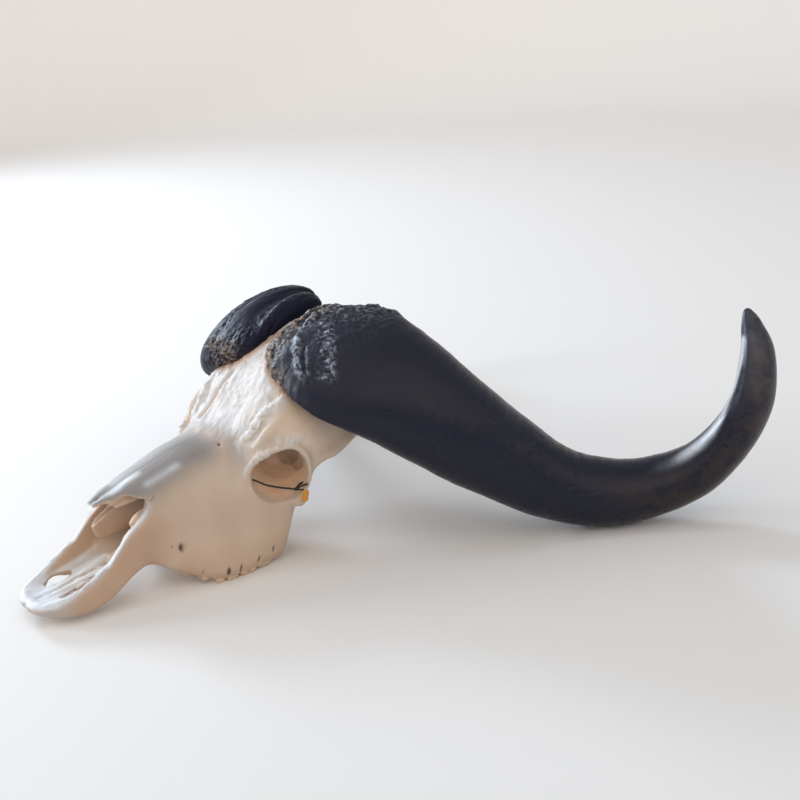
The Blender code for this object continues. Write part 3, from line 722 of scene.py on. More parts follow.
def orbit_shapes():
    """The tubular eye socket with its thick rim, and the cheek arch behind it."""
    rim = sweep([(tuple(place), RIM_HALF_LONG, RIM_HALF_ACROSS) for place in rim_places()], ORBIT_AXIS,
                steps=3, sides=12)
    tube = socket_tube(((-58, 52, 0.3), (-34, 50, 0.6), (-14, 46, 1), (-5, 43, 1)))
    lower_corner = ball((112, 16, 86), (8, 11, 11))
    arch = sweep((((109, 12, 97), 13, 8), ((114.5, 33, 127), 10, 6.5), ((115, 56, 137), 9, 7),
                  ((112, 76, 139), 10, 8), ((106, 108, 152), 10, 10), ((90, 145, 162), 14, 12)))
    brow = sweep((((84, -26, 158), 8, 7), ((90, -12, 176), 9, 8), ((94, 6, 186), 10, 9),
                  ((102, 34, 182), 12, 9)))
    brow_ridge = sweep([(tuple(place), 5, 4) for place in BROW_RIDGE], (0, 0.7, -0.7), sides=14)
    return both_sides([rim, tube, lower_corner, arch, brow, brow_ridge])


def rear_shapes():
    """Braincase, back of the head and the parts round the great opening."""
    braincase = ball((0, 100, 172), (66, 76, 60))
    base = sweep((((0, 52, 74), 20, 12), ((0, 100, 96), 21, 12), ((0, 158, 116), 18, 11)), (1, 0, 0))
    crest = sweep((((0, 178, 236), 9, 9), ((40, 176, 230), 9, 9), ((76, 164, 208), 9, 9),
                   ((88, 148, 176), 9, 10)))
    nape_ridge = sweep((((0, 180, 232), 6, 5), ((0, 182, 200), 5, 6), ((0, 178, 176), 4, 5)), (1, 0, 0))
    condyle = ball((25, 180, 134), (15, 17, 17), (25, 0, 12))
    ear_bulb = ball((40, 116, 118), (15, 18, 14))
    ear_spike = sweep((((60, 148, 150), 14, 9), ((58, 156, 132), 10, 6), ((56, 160, 120), 4, 4)), (1, 0, 0))
    plate = sweep((((25, -8, 36), 12, 5), ((23, 26, 46), 15, 4.5), ((21, 56, 72), 15, 4.5)))
    return [braincase, base, nape_ridge] + both_sides([crest, condyle, ear_bulb, ear_spike, plate])


def cavity_shapes():
    """The hollows: nose, eye sockets, temples, choanae and the great opening."""
    nose = stations_skin((
        (-345, ((0, 150), (26, 150), (44, 140), (44, 100), (36, 30), (26, 27), (12, 27), (0, 27))),
        (-300, ((0, 120), (26, 118), (44, 106), (42, 70), (34, 27), (22, 23), (12, 23), (0, 24))),
        (-258, ((0, 106), (20, 106), (40, 94), (44, 66), (43, 32), (34, 24), (16, 29), (0, 31))),
        (-230, ((0, 109), (18, 108), (38, 97), (45, 72), (45, 40), (38, 30), (18, 34), (0, 36))),
        (-203, ((0, 118), (17, 116.5), (33, 104), (45, 82), (48, 62), (43, 43), (28, 39), (0, 41))),
        (-170, ((0, 127), (20, 125), (39, 110), (51, 92), (53, 64), (44, 44), (28, 40), (0, 42))),
        (-110, ((0, 142), (22, 140), (42, 124), (52, 98), (50, 66), (40, 50), (24, 48), (0, 48))),
        (-70, ((0, 134), (16, 132), (30, 120), (34, 98), (32, 76), (26, 62), (14, 60), (0, 60))),
    ))
    socket = socket_tube(((-66, 16, 0), (-52, 25, 0), (-34, 32, 0.3), (-14, 37, 0.8), (-5, 40, 1),
                          (2, 42, 1), (22, 49, 1)))
    temple = ball((90, 92, 104), (17, 50, 44), (-28, 0, 8))
    behind_eye = sweep((((66, -8, 134), 9, 10), ((70, 10, 133), 14, 18), ((76, 32, 131), 15, 21),
                        ((84, 54, 124), 18, 16), ((89, 72, 114), 22, 12)))
    left_fissure = sweep((((23, -284, 20), 4, 30), ((24, -256, 24), 7, 30), ((23, -226, 32), 5, 30)),
                         (1, 0, 0))
    right_fissure = sweep((((-25, -286, 20), 5, 30), ((-29, -268, 24), 11, 30), ((-28, -250, 30), 7, 30)),
                          (1, 0, 0))
    worn_edge = ball((-45, -266, 4), (20, 27, 16))
    nape_hollow = ball((38, 192, 196), (27, 18, 30))
    notch = prism(NOTCH_OUTLINE, 21, 82)
    choana = sweep((((0, 16, 30), 17, 16), ((0, 50, 52), 15, 16), ((0, 76, 66), 9, 10)), (1, 0, 0))
    great_opening = sweep((((0, 200, 142), 19, 18), ((0, 150, 148), 17, 16), ((0, 112, 162), 30, 26)),
                          (1, 0, 0))
    return [nose, choana, great_opening, left_fissure, right_fissure, worn_edge] + both_sides(
        [socket, temple, behind_eye, nape_hollow, notch])


def inner_shapes():
    """Scrolls of thin bone in the nose and the upright plate on its floor."""
    left_scroll = sweep((((19, -180, 78), 8, 5), ((22, -160, 84), 16, 11), ((24, -96, 94), 18, 13)))
    upper_scroll = sweep((((12, -196, 112), 4, 6), ((15, -170, 118), 6, 9), ((18, -110, 126), 8, 12)))
    side_root = sweep((((44, -176, 84), 4, 12), ((44, -100, 86), 4, 16)))
    floor_plate = sweep((((0, -206, 38), 3, 2), ((0, -180, 44), 10, 3), ((0, -90, 56), 20, 3)))
    return [floor_plate, left_scroll] + both_sides([upper_scroll, side_root])


def right_scroll():
    """The scroll that shows in the nose: a curled leaf with two thin lips along its top."""
    leaf = sweep((((-13, -216, 75), 12, 3), ((-14, -210, 77), 16, 6), ((-16, -196, 80), 20, 8),
                  ((-20, -168, 84), 22, 11), ((-24, -96, 94), 18, 13)))
    scroll = remeshed(joined_object("scroll", [leaf]), FINE_GRAIN, 1)
    groove = sweep((((-13, -224, 92), 12, 3.5), ((-14, -208, 98), 13, 4), ((-17, -188, 104), 14, 4.5),
                    ((-21, -160, 108), 12, 5)))
    return subtract(scroll, [joined_object("groove", [groove])])


def fine_bone():
    """The whole cranium at its finished grain."""
    bone = remeshed(joined_object("skull_bone", face_shapes() + orbit_shapes() + rear_shapes()),
                    ROUGH_GRAIN, 2)
    hollows = [remeshed(joined_object("hollow", [shape]), ROUGH_GRAIN, 1) for shape in cavity_shapes()]
    subtract(bone, hollows)
    absorb(bone, joined_object("scrolls", inner_shapes()))
    absorb(bone, right_scroll())
    remeshed(bone, FINE_GRAIN, 6)
    return bone


# Small forms and colours of the bone

def forehead_relief(p):
    """The forehead's crust: broad waves, streaks that run down it, and torn flakes."""
    x, y, z = p.T
    level, steep = FOREHEAD_SLOPE
    along = level * y + steep * z
    lying = steep * y - level * z
    bent = 5 * grain_noise(p, 22, 7)
    streaks = np.column_stack([x + 0.35 * along + bent, along + bent, lying])
    rough = fade(grain_noise(p, 26, 12), -0.2, 0.6)
    height = 4.0 * layered(p, 26, 3, 4)
    height += (0.35 + 0.65 * rough) * 3.0 * layered(streaks, (9, 18, 13), 9)
    torn = grain_noise(streaks, (5, 11, 8), 21) + 0.5 * grain_noise(p, 2.6, 22)
    height -= 2.4 * fade(torn, 0.52, 0.90) * rough
    return height * forehead_mask(p)


def ridge_relief(p, twin, wander):
    """The bumpy ridges round the brows, on the socket's upper rim and along the snout."""
    crest = 2.2 + 2.0 * layered(p, 8, 61, 2) + 0.9 * grain_noise(p, 3, 62)
    height = near_line(wander, BROW_RIDGE, 7.5) * crest
    for route, width, rise, seed in BUMPY_LINES:
        height += rise * near_line(wander, route, width) * (1 + grain_noise(p, 4, seed))
    rays = 1.2 + 2.5 * layered(round_the_socket(twin), (4.2, 14, 14), 71, 2)
    height += near_line(twin, BROW_BAND, 7.0) * (rays + 1.2 * grain_noise(p, 5, 73))
    lip = near_line(twin, CREST_LINE, 2.4) * fade(p[:, 1], -290, -262)
    height += lip * (1.0 + 2.0 * grain_noise(p, 5.5, 75))
    return height + 1.3 * near_line(p, FLOOR_RIDGE, 2.4)


def bone_relief(p):
    """Height of the bone's small forms, in millimetres."""
    x, y, z = p.T
    twin = twin_of(p)
    wander = wandering(p, twin, 1.2, 5, 51)
    strayed = p + wander - twin
    height = forehead_relief(p) + ridge_relief(p, twin, wander)
    height += 0.35 * layered(p, 26, 31) + 0.14 * layered(p, (6, 9, 6), 41)
    for places, cuts in ((wander, TWIN_CUTS), (strayed, OWN_CUTS)):
        for route, depth, width in cuts:
            height -= depth * near_line(places, route, width)
    for centre, radii, depth, _ in PITS:
        height -= depth * near_spot(p, centre, radii)
    height -= 4.4 * near_spot(wander, FORAMEN, (8, 4.0, 6.5))
    for slit_y, slit_z in TOOTH_SLITS:
        height -= 2.2 * near_spot(wander, (GUM_X, slit_y, slit_z - 2), (14, 1.6, 7.5))
    height -= 0.8 * fade(z, 12, 6) * fade(y, -128, -110) * fade(y, 2, -12)
    _, radius, inward = round_the_socket(twin).T
    height += 1.5 * fade(radius, 42, 35) * fade(inward, -6, -18) * layered(p, 11, 77)
    middle_seam = np.exp(-(x / 1.4) ** 2) * (y < -36) * (z > 100)
    return height - 0.4 * middle_seam


class BonePlaces:
    """The bone's points and normals in millimetres, and the regions that several colours share."""

    def __init__(self, bone):
        self.p = points_of(bone) / MM
        self.x, self.y, self.z = self.p.T
        self.twin = twin_of(self.p)
        _, self.rearward, self.up = normals_of(bone).T
        self.around = round_the_socket(self.twin)
        _, self.radius, inward = self.around.T
        self.forehead = forehead_mask(self.p)
        self.sky = fade(self.up, 0.1, 0.8)
        self.sides = fade(self.up, 0.6, 0.1)
        self.inside = fade(self.radius, 43, 36) * fade(inward, -1, -18)
        self.outside = fade(self.radius, 44, 54)
        self.nose = fade(self.y, -215, -190) * fade(np.abs(self.x), 52, 46) * fade(self.z, 122, 112)
        # The top of the nasal bones, where grey shade is painted
        self.shaded_nasal = (self.sky * fade(self.z, 92, 112) * fade(self.y, -30, -75)
                           * fade(np.abs(self.x), 74, 30))
        # The snout's end where it faces forward, painted with the window's cool light
        self.snout_end = 0.55 * fade(self.y, -255, -305) * fade(self.rearward, 0.5, -0.3)


def bleached_and_lit(bone):
    """Sun-bleached: the forehead, the ridges, the upper rims and the floor of the snout. Painted light
    makes the temple and the back of the nose paler, and painted shade keeps the bleach out of the brow's
    pit and its grooves.
    """
    rays = 0.55 + 0.75 * grain_noise(bone.around, (3.6, 20, 20), 94)
    value = bone.sky * bone.forehead * fade(bone.y, -62, -34) + near_line(bone.twin, BROW_BAND, 9.0) * rays
    value += near_line(bone.twin, BROW_RIDGE, 8.0) + near_line(bone.twin, TEAR_CREST, 4.0)
    value += near_line(bone.twin, CREST_LINE, 3.2) + near_line(bone.p, FLOOR_RIDGE, 4)
    value += 0.9 * fade(bone.y, -190, -235) * fade(bone.up, 0.35, 0.8) * fade(bone.z, 12, 18)
    # Painted light: a paler temple where the horn's shadow falls
    value += 0.30 * near_spot(bone.twin, *TEMPLE_PALE_LIGHT) * fade(bone.radius, 46, 58)
    # Painted light: a paler back of the nose
    value += 0.22 * bone.nose * fade(bone.y, -130, -160)
    # Painted shade: the brow's pit and the grooves keep little of the bleach
    shaded_hollows = near_spot(bone.p, BROW_PIT, (8, 12, 9)) + near_line(bone.twin, BROW_GROOVE, 1.8)
    shaded_hollows += 0.9 * near_line(bone.p, RIGHT_GROOVE, 4.0)
    return value * (1 - 0.8 * np.clip(shaded_hollows, 0, 1))


def shaded_grey(bone):
    """Painted light and shade in grey: shade on the top of the nasal bones and the foot of the forehead,
    and the cool grey of the window's light on the snout's end where it faces forward.
    """
    low_forehead = bone.sky * bone.forehead * fade(bone.y, -22, -50)
    return np.maximum(np.maximum(bone.shaded_nasal, 0.9 * low_forehead), bone.snout_end)


def painted_highlights(bone):
    """Painted highlights in bluish white: streaks on the nasal bones and their right side, the snout's
    crest, its floor and its end.
    """
    value = near_line(bone.p, NASAL_HIGHLIGHTS, 6) + 0.6 * near_line(bone.p, NASAL_HIGHLIGHTS_LOW, 6)
    value += fade(bone.y, -262, -292) * fade(bone.up, 0.0, 0.6) + 0.7 * near_line(bone.p, FLOOR_RIDGE, 3.4)
    lip = near_line(bone.twin, CREST_LINE, 5.0) * fade(bone.y, -162, -182)
    value += lip * (0.9 + 0.3 * grain_noise(bone.p, 6, 93))
    return value + 0.25 * bone.shaded_nasal * fade(bone.x, 4, -22) + 0.35 * bone.snout_end


def painted_warm_light(bone):
    """Painted warm light: a brighter warm tan that lifts the shade in the socket's hollow and its sill, on
    the temple beside it and in the nose, and warms the low cheek's sides.
    """
    sill = fade(bone.radius, 27, 37) * fade(bone.z, 118, 98) * bone.inside
    temple = near_spot(bone.twin, *TEMPLE_WARM_LIGHT) * bone.outside
    low_cheek = fade(bone.z, 85, 30) * bone.sides * fade(bone.y, 30, 0)
    return 0.75 * bone.inside + 0.6 * sill + 0.9 * temple + 0.28 * low_cheek + 0.75 * bone.nose


def stained_and_shaded(bone):
    """Brown: stain in the socket's far side, on the temple and over the brow; painted shade on the snout's
    sides, deeper low on them; and darker toward the bottom along the tooth rows.
    """
    reddish = grain_noise(bone.p, 18, 91) + 0.6 * grain_noise(bone.p, 7, 92)
    reddish = np.clip(reddish, 0, 1)
    value = bone.inside * (0.04 + 0.18 * fade(bone.y, -40, 20) + 0.22 * reddish)
    temple = near_spot(bone.twin, *TEMPLE_STAIN) * (0.10 + 0.75 * reddish)
    brow = near_spot(bone.twin, *BROW_STAIN)
    value += (temple + 0.3 * brow) * bone.outside
    # Painted shade on the snout's sides, deeper low down
    value += 0.46 * fade(bone.y, -140, -180) * fade(bone.y, -300, -270) * bone.sides
    value += 0.34 * fade(bone.z, 62, 22) * bone.sides * fade(bone.y, -150, -130)
    return value + 0.20 * fade(bone.z, 20, 6) * fade(bone.y, -150, -128)


def marked_and_shaded(bone):
    """Dark marks and painted shade: dark cracks and the smear under the hole in front of the cheek, and
    painted shade in that hole, in the pits, in the slits between the teeth, in the nose's slits and groove,
    and in the hollow behind the socket.
    """
    bent = wandering(bone.p, bone.twin, 1.6, 7, 54)
    # Painted shade in the hole in front of the cheek
    value = near_spot(bent, FORAMEN, (9, 4.2, 7.0))
    value += 0.5 * near_spot(bent, UNDER_FORAMEN, (10, 3.4, 3.0))
    for centre, radii, _, darkness in PITS:
        value += darkness * near_spot(bone.p, centre, radii)
    # Painted shade in the slits between the teeth
    for slit_y, slit_z in TOOTH_SLITS:
        value += 1.05 * near_spot(bent, (GUM_X, slit_y, slit_z), (14, 2.0, 7.0))
    for route, strength, width in DARK_LINES:
        value += strength * near_line(bone.p, route, width)
    value += 0.35 * near_line(bone.twin, CHEEK_ARC, 1.2)
    # Painted shade in the hollow behind the socket
    pit = np.linalg.norm((bone.twin - np.array(ORBIT_SHADE)) / np.array(ORBIT_SHADE_RADII), axis=1)
    return value + 0.50 * fade(pit, 1.12, 0.92)


def paint_bone(bone):
    """Keeps where the bone is bleached, stained and dark, and where light and shade are painted on it: grey
    shade, highlights, warm light, and shade in its holes and slits.
    """
    places = BonePlaces(bone)
    for name, colour in (("bleach_and_light", bleached_and_lit), ("painted_grey_shade", shaded_grey), ("painted_highlight", painted_highlights), ("warm_light", painted_warm_light),
                         ("browned", stained_and_shaded), ("marks_and_shade", marked_and_shaded)):
        paint(bone, name, colour(places))


def make_bone():
    """The cranium with its small forms and colours."""
    bone = fine_bone()
    push(bone, bone_relief(points_of(bone) / MM))
    slim(bone, BONE_TRIANGLES)
    paint_bone(bone)
    finish_piece(bone, "cranium", bone_material())
    return bone


def paint_under_horns(bone, horns):
    """The brown tint on the bone along the sheaths' edges."""
    tree = KDTree(sum(len(horn.data.vertices) for horn in horns) // 3 + len(horns))
    for horn in horns:
        for place in points_of(horn)[::3]:
            tree.insert(place, 0)
    tree.balance()
    p = points_of(bone)
    tint = np.zeros(len(p))
    for i in np.nonzero((p[:, 2] > UNDER_HORN_LOWEST) & (p[:, 1] > UNDER_HORN_FOREMOST))[0]:
        tint[i] = max(0.0, 1 - tree.find(p[i])[2] / UNDER_HORN_REACH)
    paint(bone, "under_horn", tint)


# Horns

def horn_rings(side, start, tip):
    """Rings of the sheath, closer together on the boss. Returns them with their distance along it."""
    rows = [(side * x, y, z, *sizes) for (x, y, z), *sizes in start + HORN_BASE + tip]
    curve = smooth_rows(rows, ROUTE_STEPS) * MM
    steps = np.linalg.norm(np.diff(curve[:, :3], axis=0), axis=1)
    way = np.concatenate([[0], np.cumsum(steps)])
    stops = [0.0]
    while stops[-1] < way[-1]:
        grown = min(1.0, max(0.0, stops[-1] - RING_GROWTH_START) / RING_GROWTH_LENGTH)
        stops.append(stops[-1] + RING_STEP + RING_STEP_GROWTH * grown)
    stops = np.array(stops[:-1] + [way[-1]])
    resampled = np.column_stack([np.interp(stops, way, column) for column in curve.T])
    return swept_rings(resampled, BOSS_LEAN, HORN_SIDES), stops


def left_boss_relief(p, twin, coarse, fine):
    """The collar with its groove and thin ridge, the broken bar of lumps with its rungs, and the top."""
    wander = wandering(p, twin, 2.0, 9, LEFT_SEED + 1)
    collar = near_line(wander, COLLAR, 5.2) * (3.4 + 1.4 * coarse + 1.6 * fine)
    collar -= near_line(wander, COLLAR_GROOVE, 1.9) * 2.8
    collar += near_line(wander, THIN_RIDGE, 1.9) * (1.6 + 1.2 * fine)
    broken = fade(grain_noise(p, 8, 132) + 0.4 * fine, -0.6, 0.5)
    bar = near_line(wander, LUMP_BAR, 5.0) * (0.8 + 2.2 * broken + 1.3 * fine)
    phase = p @ np.array(RUNG_WAY) + 4.5 * grain_noise(p, 15, 131)
    rungs = np.clip(np.cos(2 * math.pi * phase / RUNG_PITCH), -0.2, 1)
    bar += near_line(p, RUNGS, 8.5) * (1.5 * rungs * (0.35 + 0.65 * broken) + 1.9 * fine)
    top = near_spot(twin, BOSS_TOP, (50, 55, 24)) * (1.6 * coarse + 2.6 * fine)
    return collar * fade(p[:, 2], *COLLAR_END) + bar + top


def right_boss_relief(p, coarse, fine):
    """The right boss's band and crust."""
    height = near_line(p, RIGHT_BAND, 14) * (1.0 * coarse + 1.6 * fine)
    return height + near_spot(p, RIGHT_CRUST, (34, 16, 22)) * (2.6 * coarse + 2.0 * fine)


def sweep_relief(p, s, seed):
    """Waves, wrinkles and pits of the sheath along its sweep. S is the distance along, here in mm."""
    ringwise = np.column_stack([p[:, 0] * 0.3, p[:, 2] * 0.3, s])
    height = 0.9 * layered(ringwise, (30, 30, 26), seed + 17)
    height += fade(s, 560, 380) * 0.2 * grain_noise(ringwise, (40, 40, 8), seed + 21)
    pits = fade(grain_noise(p, (6, 6, 4), seed + 25), 0.62, 0.9)
    height -= fade(s, 300, 380) * fade(s, 640, 540) * 1.6 * pits
    return height * fade(s, 70, 190) * fade(s, 900, 720)


def horn_relief(p, s, side):
    """Height in millimetres of all the sheath's small forms. S is the distance along it in mm."""
    twin = twin_of(p)
    seed = LEFT_SEED if side > 0 else RIGHT_SEED
    coarse = layered(p, 11, seed + 5)
    fine = layered(p, 4.2, seed + 9, 2)
    edge = near_line(twin, BOSS_EDGE, 20) * (3.0 * coarse + 2.0 * fine)
    if side > 0:
        height = edge + left_boss_relief(p, twin, coarse, fine)
    else:
        height = 0.4 * edge + right_boss_relief(p, coarse, fine)
    return height + 0.3 * fine * fade(s, 190, 70) + sweep_relief(p, s, seed)


def boss_lumps(horn):
    """Height in millimetres of the boss's main lumps at their full size."""
    lumps = []
    for place in points_of(horn):
        out = max(0.0, 1.0 - abs(place[0]) / BOSS_REACH)
        lump = noise.noise(Vector(v * n for v, n in zip(place, LUMPS_PER_M)))
        ridge = 0.5 - 2 * abs(noise.noise(Vector(v * n for v, n in zip(place, RIDGES_PER_M))))
        lumps.append(BOSS_LUMP / MM * (lump + ridge) * out)
    return np.array(lumps)


def left_boss_tints(p, twin):
    """Where the left boss is dusty, where its dust lies thickest, and where its brown crust is."""
    collar = near_line(twin, COLLAR, 9) + near_line(twin, THIN_RIDGE, 3)
    dusty = collar * fade(p[:, 2], *COLLAR_END) + near_line(twin, LUMP_BAR, 7)
    dusty += near_line(twin, RUNGS, 9) + 0.8 * near_spot(twin, BOSS_TOP, (55, 58, 26))
    return dusty, 0.10 * near_spot(twin, BOSS_TOP, (50, 50, 24)), near_line(twin, BOSS_EDGE, 17)


def right_boss_tints(p, s, normals):
    """The same for the right boss, whose dust lies on the side turned up and outward toward the light,
    where it also stands for a painted rim highlight.
    """
    # Dust and a painted rim highlight on the side turned toward the light
    thick = 0.2 * fade(normals @ np.array(RIGHT_LIGHT_SIDE), 0.82, 0.98) * fade(s, 230, 150)
    dusty = 4.5 * thick + 0.7 * near_spot(p, RIGHT_CRUST, (36, 18, 24))
    return dusty, thick, near_spot(p, RIGHT_CRUST, (32, 16, 18))


def paint_horn(horn, side, p, s, height):
    """Where the sheath is dusty, crusted, brown or worn, and where highlights and a reflection are painted
    on it. S is the distance along it in mm.
    """
    twin = twin_of(p)
    normals = normals_of(horn)
    dusty, thick, crust = left_boss_tints(p, twin) if side > 0 else right_boss_tints(p, s, normals)
    paint(horn, "height", 0.5 + height / 9 + thick)
    paint(horn, "boss", fade(s, 200, 110))
    paint(horn, "rough", dusty)
    paint(horn, "edge", crust)
    length = s.max()
    paint(horn, "tip", fade(s, length - 190, length - 20))
    # A painted reflection of the window along the left horn's inner curve, over its worn streak
    painted_reflection = near_line(twin, REFLECTION_STREAK, 6.0 + 5.0 * fade(p[:, 2], 190, 110))
    painted_reflection *= 0.2 + 0.8 * fade(np.linalg.norm(twin - np.array(REFLECTION_STREAK[0]), axis=1), 4, 55)
    paint(horn, "painted_reflection", painted_reflection * (side > 0))
    paint(horn, "outer", fade(normals[:, 0] * side, 0.1, 0.8) * fade(s, length - 420, length - 260))


def make_horn(name, node, side, start, tip, lump_share, gloss):
    """A sheath with its boss: side is 1 for the left one and -1 for the right one."""
    rings, stops = horn_rings(side, start, tip)
    horn = mesh_object(name, *outward(skin_rings(rings)))
    p = points_of(horn) / MM
    s = np.repeat(stops, len(rings[0])) / MM
    ease = fade(s, 0, 8)
    push(horn, boss_lumps(horn) * ease * lump_share)
    height = horn_relief(p, s, side)
    push(horn, height * ease)
    paint_horn(horn, side, p, s, height)
    slim(horn, HORN_TRIANGLES)
    finish_piece(horn, node, horn_material(name, gloss))
    return horn


# Teeth

def make_tooth(side_name, sign, name, y, x, length, width, worn_z):
    """A worn crown with folded enamel sides and a dished chewing face."""
    angles = 2 * math.pi * (np.arange(TOOTH_SIDES) + 0.5) / TOOTH_SIDES
    cx, cy = [np.copysign(np.abs(wave) ** TOOTH_SQUARENESS, wave) * size / 2
              for wave, size in ((np.cos(angles), width), (np.sin(angles), length))]
    waist = 0.05 * np.exp(-((np.abs(cy) / length * 6) ** 2)) * (length > WAIST_LENGTH)
    fold = 1 + 0.045 * np.cos(3 * angles + 0.6) - waist
    rings = []
    for height, scale in ([(worn_z + rise, scale) for rise, scale in CROWN_PROFILE]
                          + [(TOOTH_ROOT_TOP + rise, scale) for rise, scale in ROOT_PROFILE]):
        rings.append(np.column_stack([sign * x + cx * fold * scale, y + cy * fold * scale,
                                      np.full(TOOTH_SIDES, height)]) * MM)
    tooth = mesh_object(side_name + "_" + name + "_crown", *outward(skin_rings(rings)))
    push(tooth, 0.25 * layered(points_of(tooth) / MM, (2.5, 2.5, 7), 201))
    finish_piece(tooth, side_name + "_" + name, tooth_material(), seat=False)


# Tie and tag

def cord_run(places, radius):
    """A round cord through the places."""
    return sweep([(place, radius, radius) for place in places], (0.3, 0.2, 1), steps=8, sides=14)


def make_tie():
    """The thin black tie with its knot, through the left eye socket."""
    tail = cord_run(((80, -40, 121.5), (87, -33.5, 119.5), (98, -24, 113.5), (108, -7.5, 107.5), KNOT),
                    CORD_RADIUS)
    loop = cord_run((KNOT, (120.5, 14, 107), (122, 20.5, 107.5), (119.5, 26, 107.5), (113.5, 27, 107),
                     (109, 20, 105), KNOT), CORD_RADIUS)
    leg = cord_run((KNOT, (122, 12, 103), (127.5, 14, 103.5)), LEG_RADIUS)
    knot = ball(KNOT, (2.6, 2.6, 2.4))
    tie = joined_object("black_tie", [tail, loop, leg, knot])
    finish_piece(tie, "orbit_strap", plain_material("tie black", TIE_BLACK, 0.38))


def make_tag():
    """The small plain tag: an amber plate with round ends and soft edges."""
    outline = []
    for k in range(TAG_SIDES):
        angle = 2 * math.pi * k / TAG_SIDES
        end = math.copysign(TAG_STRAIGHT, math.sin(angle))
        outline.append((TAG_RADIUS * math.cos(angle), TAG_RADIUS * math.sin(angle) + end))
    rings = [np.array([(x, y, z) for x, y in outline]) * MM for z in (0, TAG_THICKNESS)]
    tag = mesh_object("amber_tag", *outward(skin_rings(rings)))
    facing = Vector(TAG_FACING).normalized()
    up = (Vector(TAG_LEAN) - facing * facing.z).normalized()
    side = up.cross(facing).normalized()
    turn = Matrix((side, facing.cross(side), facing)).transposed().to_4x4()
    tag.data.transform(Matrix.Translation(Vector(TAG_CENTRE) * MM) @ turn)
    bevel = tag.modifiers.new("round edges", "BEVEL")
    bevel.width = TAG_EDGE * MM
    bevel.segments = 3
    settle(tag)
    finish_piece(tag, "tag", plain_material("tag amber", TAG_AMBER, 0.35))


# Placing

def seated(obj):
    """Turns a piece from the head's own frame onto its resting place on the ground."""
    pivot = Vector(SEAT_PIVOT)
    turn = Matrix.Rotation(math.radians(-SEAT_PITCH_DEG), 4, "X")
    obj.data.transform(Matrix.Translation(pivot) @ turn @ Matrix.Translation(-pivot))


def rested(obj):
    """Flattens what would reach below the ground."""
    co = points_of(obj)
    co[:, 2] = np.maximum(co[:, 2], 0)
    obj.data.vertices.foreach_set("co", co.ravel())
    obj.data.update()


def finish_piece(obj, node, material, seat=True):
    """Seats a piece, gives it its material and lets it stand for its node."""
    if seat:
        seated(obj)
    obj.data.transform(Matrix.Translation(ORIGIN_SHIFT))
    rested(obj)
    obj.data.materials.clear()
    obj.data.materials.append(material)
    obj.data.shade_smooth()
    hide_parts(node)
    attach(obj, "root")


# Materials

class Nodes:
    """Short calls for building a material's node tree."""

    def __init__(self, name):
        self.material = bpy.data.materials.new(name)
        self.material.use_nodes = True
        self.tree = self.material.node_tree
        self.shader = self.tree.nodes["Principled BSDF"]

    def link(self, source, target):
        self.tree.links.new(source, target)

    def put(self, node, socket, value):
        if isinstance(value, bpy.types.NodeSocket):
            self.link(value, node.inputs[socket])
        else:
            node.inputs[socket].default_value = value

    def attribute(self, name):
        node = self.tree.nodes.new("ShaderNodeAttribute")
        node.attribute_name = name
        return node.outputs["Fac"]

    def place(self, scale=(1, 1, 1)):
        coords = self.tree.nodes.new("ShaderNodeTexCoord")
        mapping = self.tree.nodes.new("ShaderNodeMapping")
        mapping.inputs["Scale"].default_value = scale
        self.link(coords.outputs["Object"], mapping.inputs["Vector"])
        return mapping.outputs["Vector"]

    def noise(self, vector, scale, detail=4.0, roughness=0.55):
        node = self.tree.nodes.new("ShaderNodeTexNoise")
        self.link(vector, node.inputs["Vector"])
        node.inputs["Scale"].default_value = scale
        node.inputs["Detail"].default_value = detail
        node.inputs["Roughness"].default_value = roughness
        return node.outputs["Fac"]

    def spots(self, vector, scale):
        node = self.tree.nodes.new("ShaderNodeTexVoronoi")
        self.link(vector, node.inputs["Vector"])
        node.inputs["Scale"].default_value = scale
        return node.outputs["Distance"]

    def ramp(self, value, low, high, out_low=0.0, out_high=1.0):
        node = self.tree.nodes.new("ShaderNodeMapRange")
        node.interpolation_type = "SMOOTHSTEP"
        self.put(node, "Value", value)
        sockets = ("From Min", "From Max", "To Min", "To Max")
        for socket, number in zip(sockets, (low, high, out_low, out_high)):
            node.inputs[socket].default_value = number
        return node.outputs["Result"]

    def math(self, operation, a, b):
        node = self.tree.nodes.new("ShaderNodeMath")
        node.operation = operation
        self.put(node, 0, a)
        self.put(node, 1, b)
        return node.outputs[0]

    def times(self, a, b):
        return self.math("MULTIPLY", a, b)

    def blend(self, amount, a, b):
        node = self.tree.nodes.new("ShaderNodeMix")
        node.data_type = "RGBA"
        self.put(node, "Factor", amount)
        for socket, value in ((6, a), (7, b)):
            if isinstance(value, tuple):
                node.inputs[socket].default_value = (*value, 1)
            else:
                self.link(value, node.inputs[socket])
        return node.outputs[2]

    def bump(self, height, strength, distance, below=None):
        node = self.tree.nodes.new("ShaderNodeBump")
        node.inputs["Strength"].default_value = strength
        node.inputs["Distance"].default_value = distance
        self.link(height, node.inputs["Height"])
        if below is not None:
            self.link(below, node.inputs["Normal"])
        return node.outputs["Normal"]

    def over(self, base, colour, name, *broken):
        """The colour over the base where the painted number is high, broken up by a ramped noise."""
        amount = self.attribute(name)
        if broken:
            amount = self.times(amount, self.ramp(*broken))
        return self.blend(amount, base, colour)

    def finished(self, colour, roughness, normal):
        """The material with its colour, roughness and bumps in place."""
        for socket, value in (("Base Color", colour), ("Roughness", roughness), ("Normal", normal)):
            self.put(self.shader, socket, value)
        return self.material


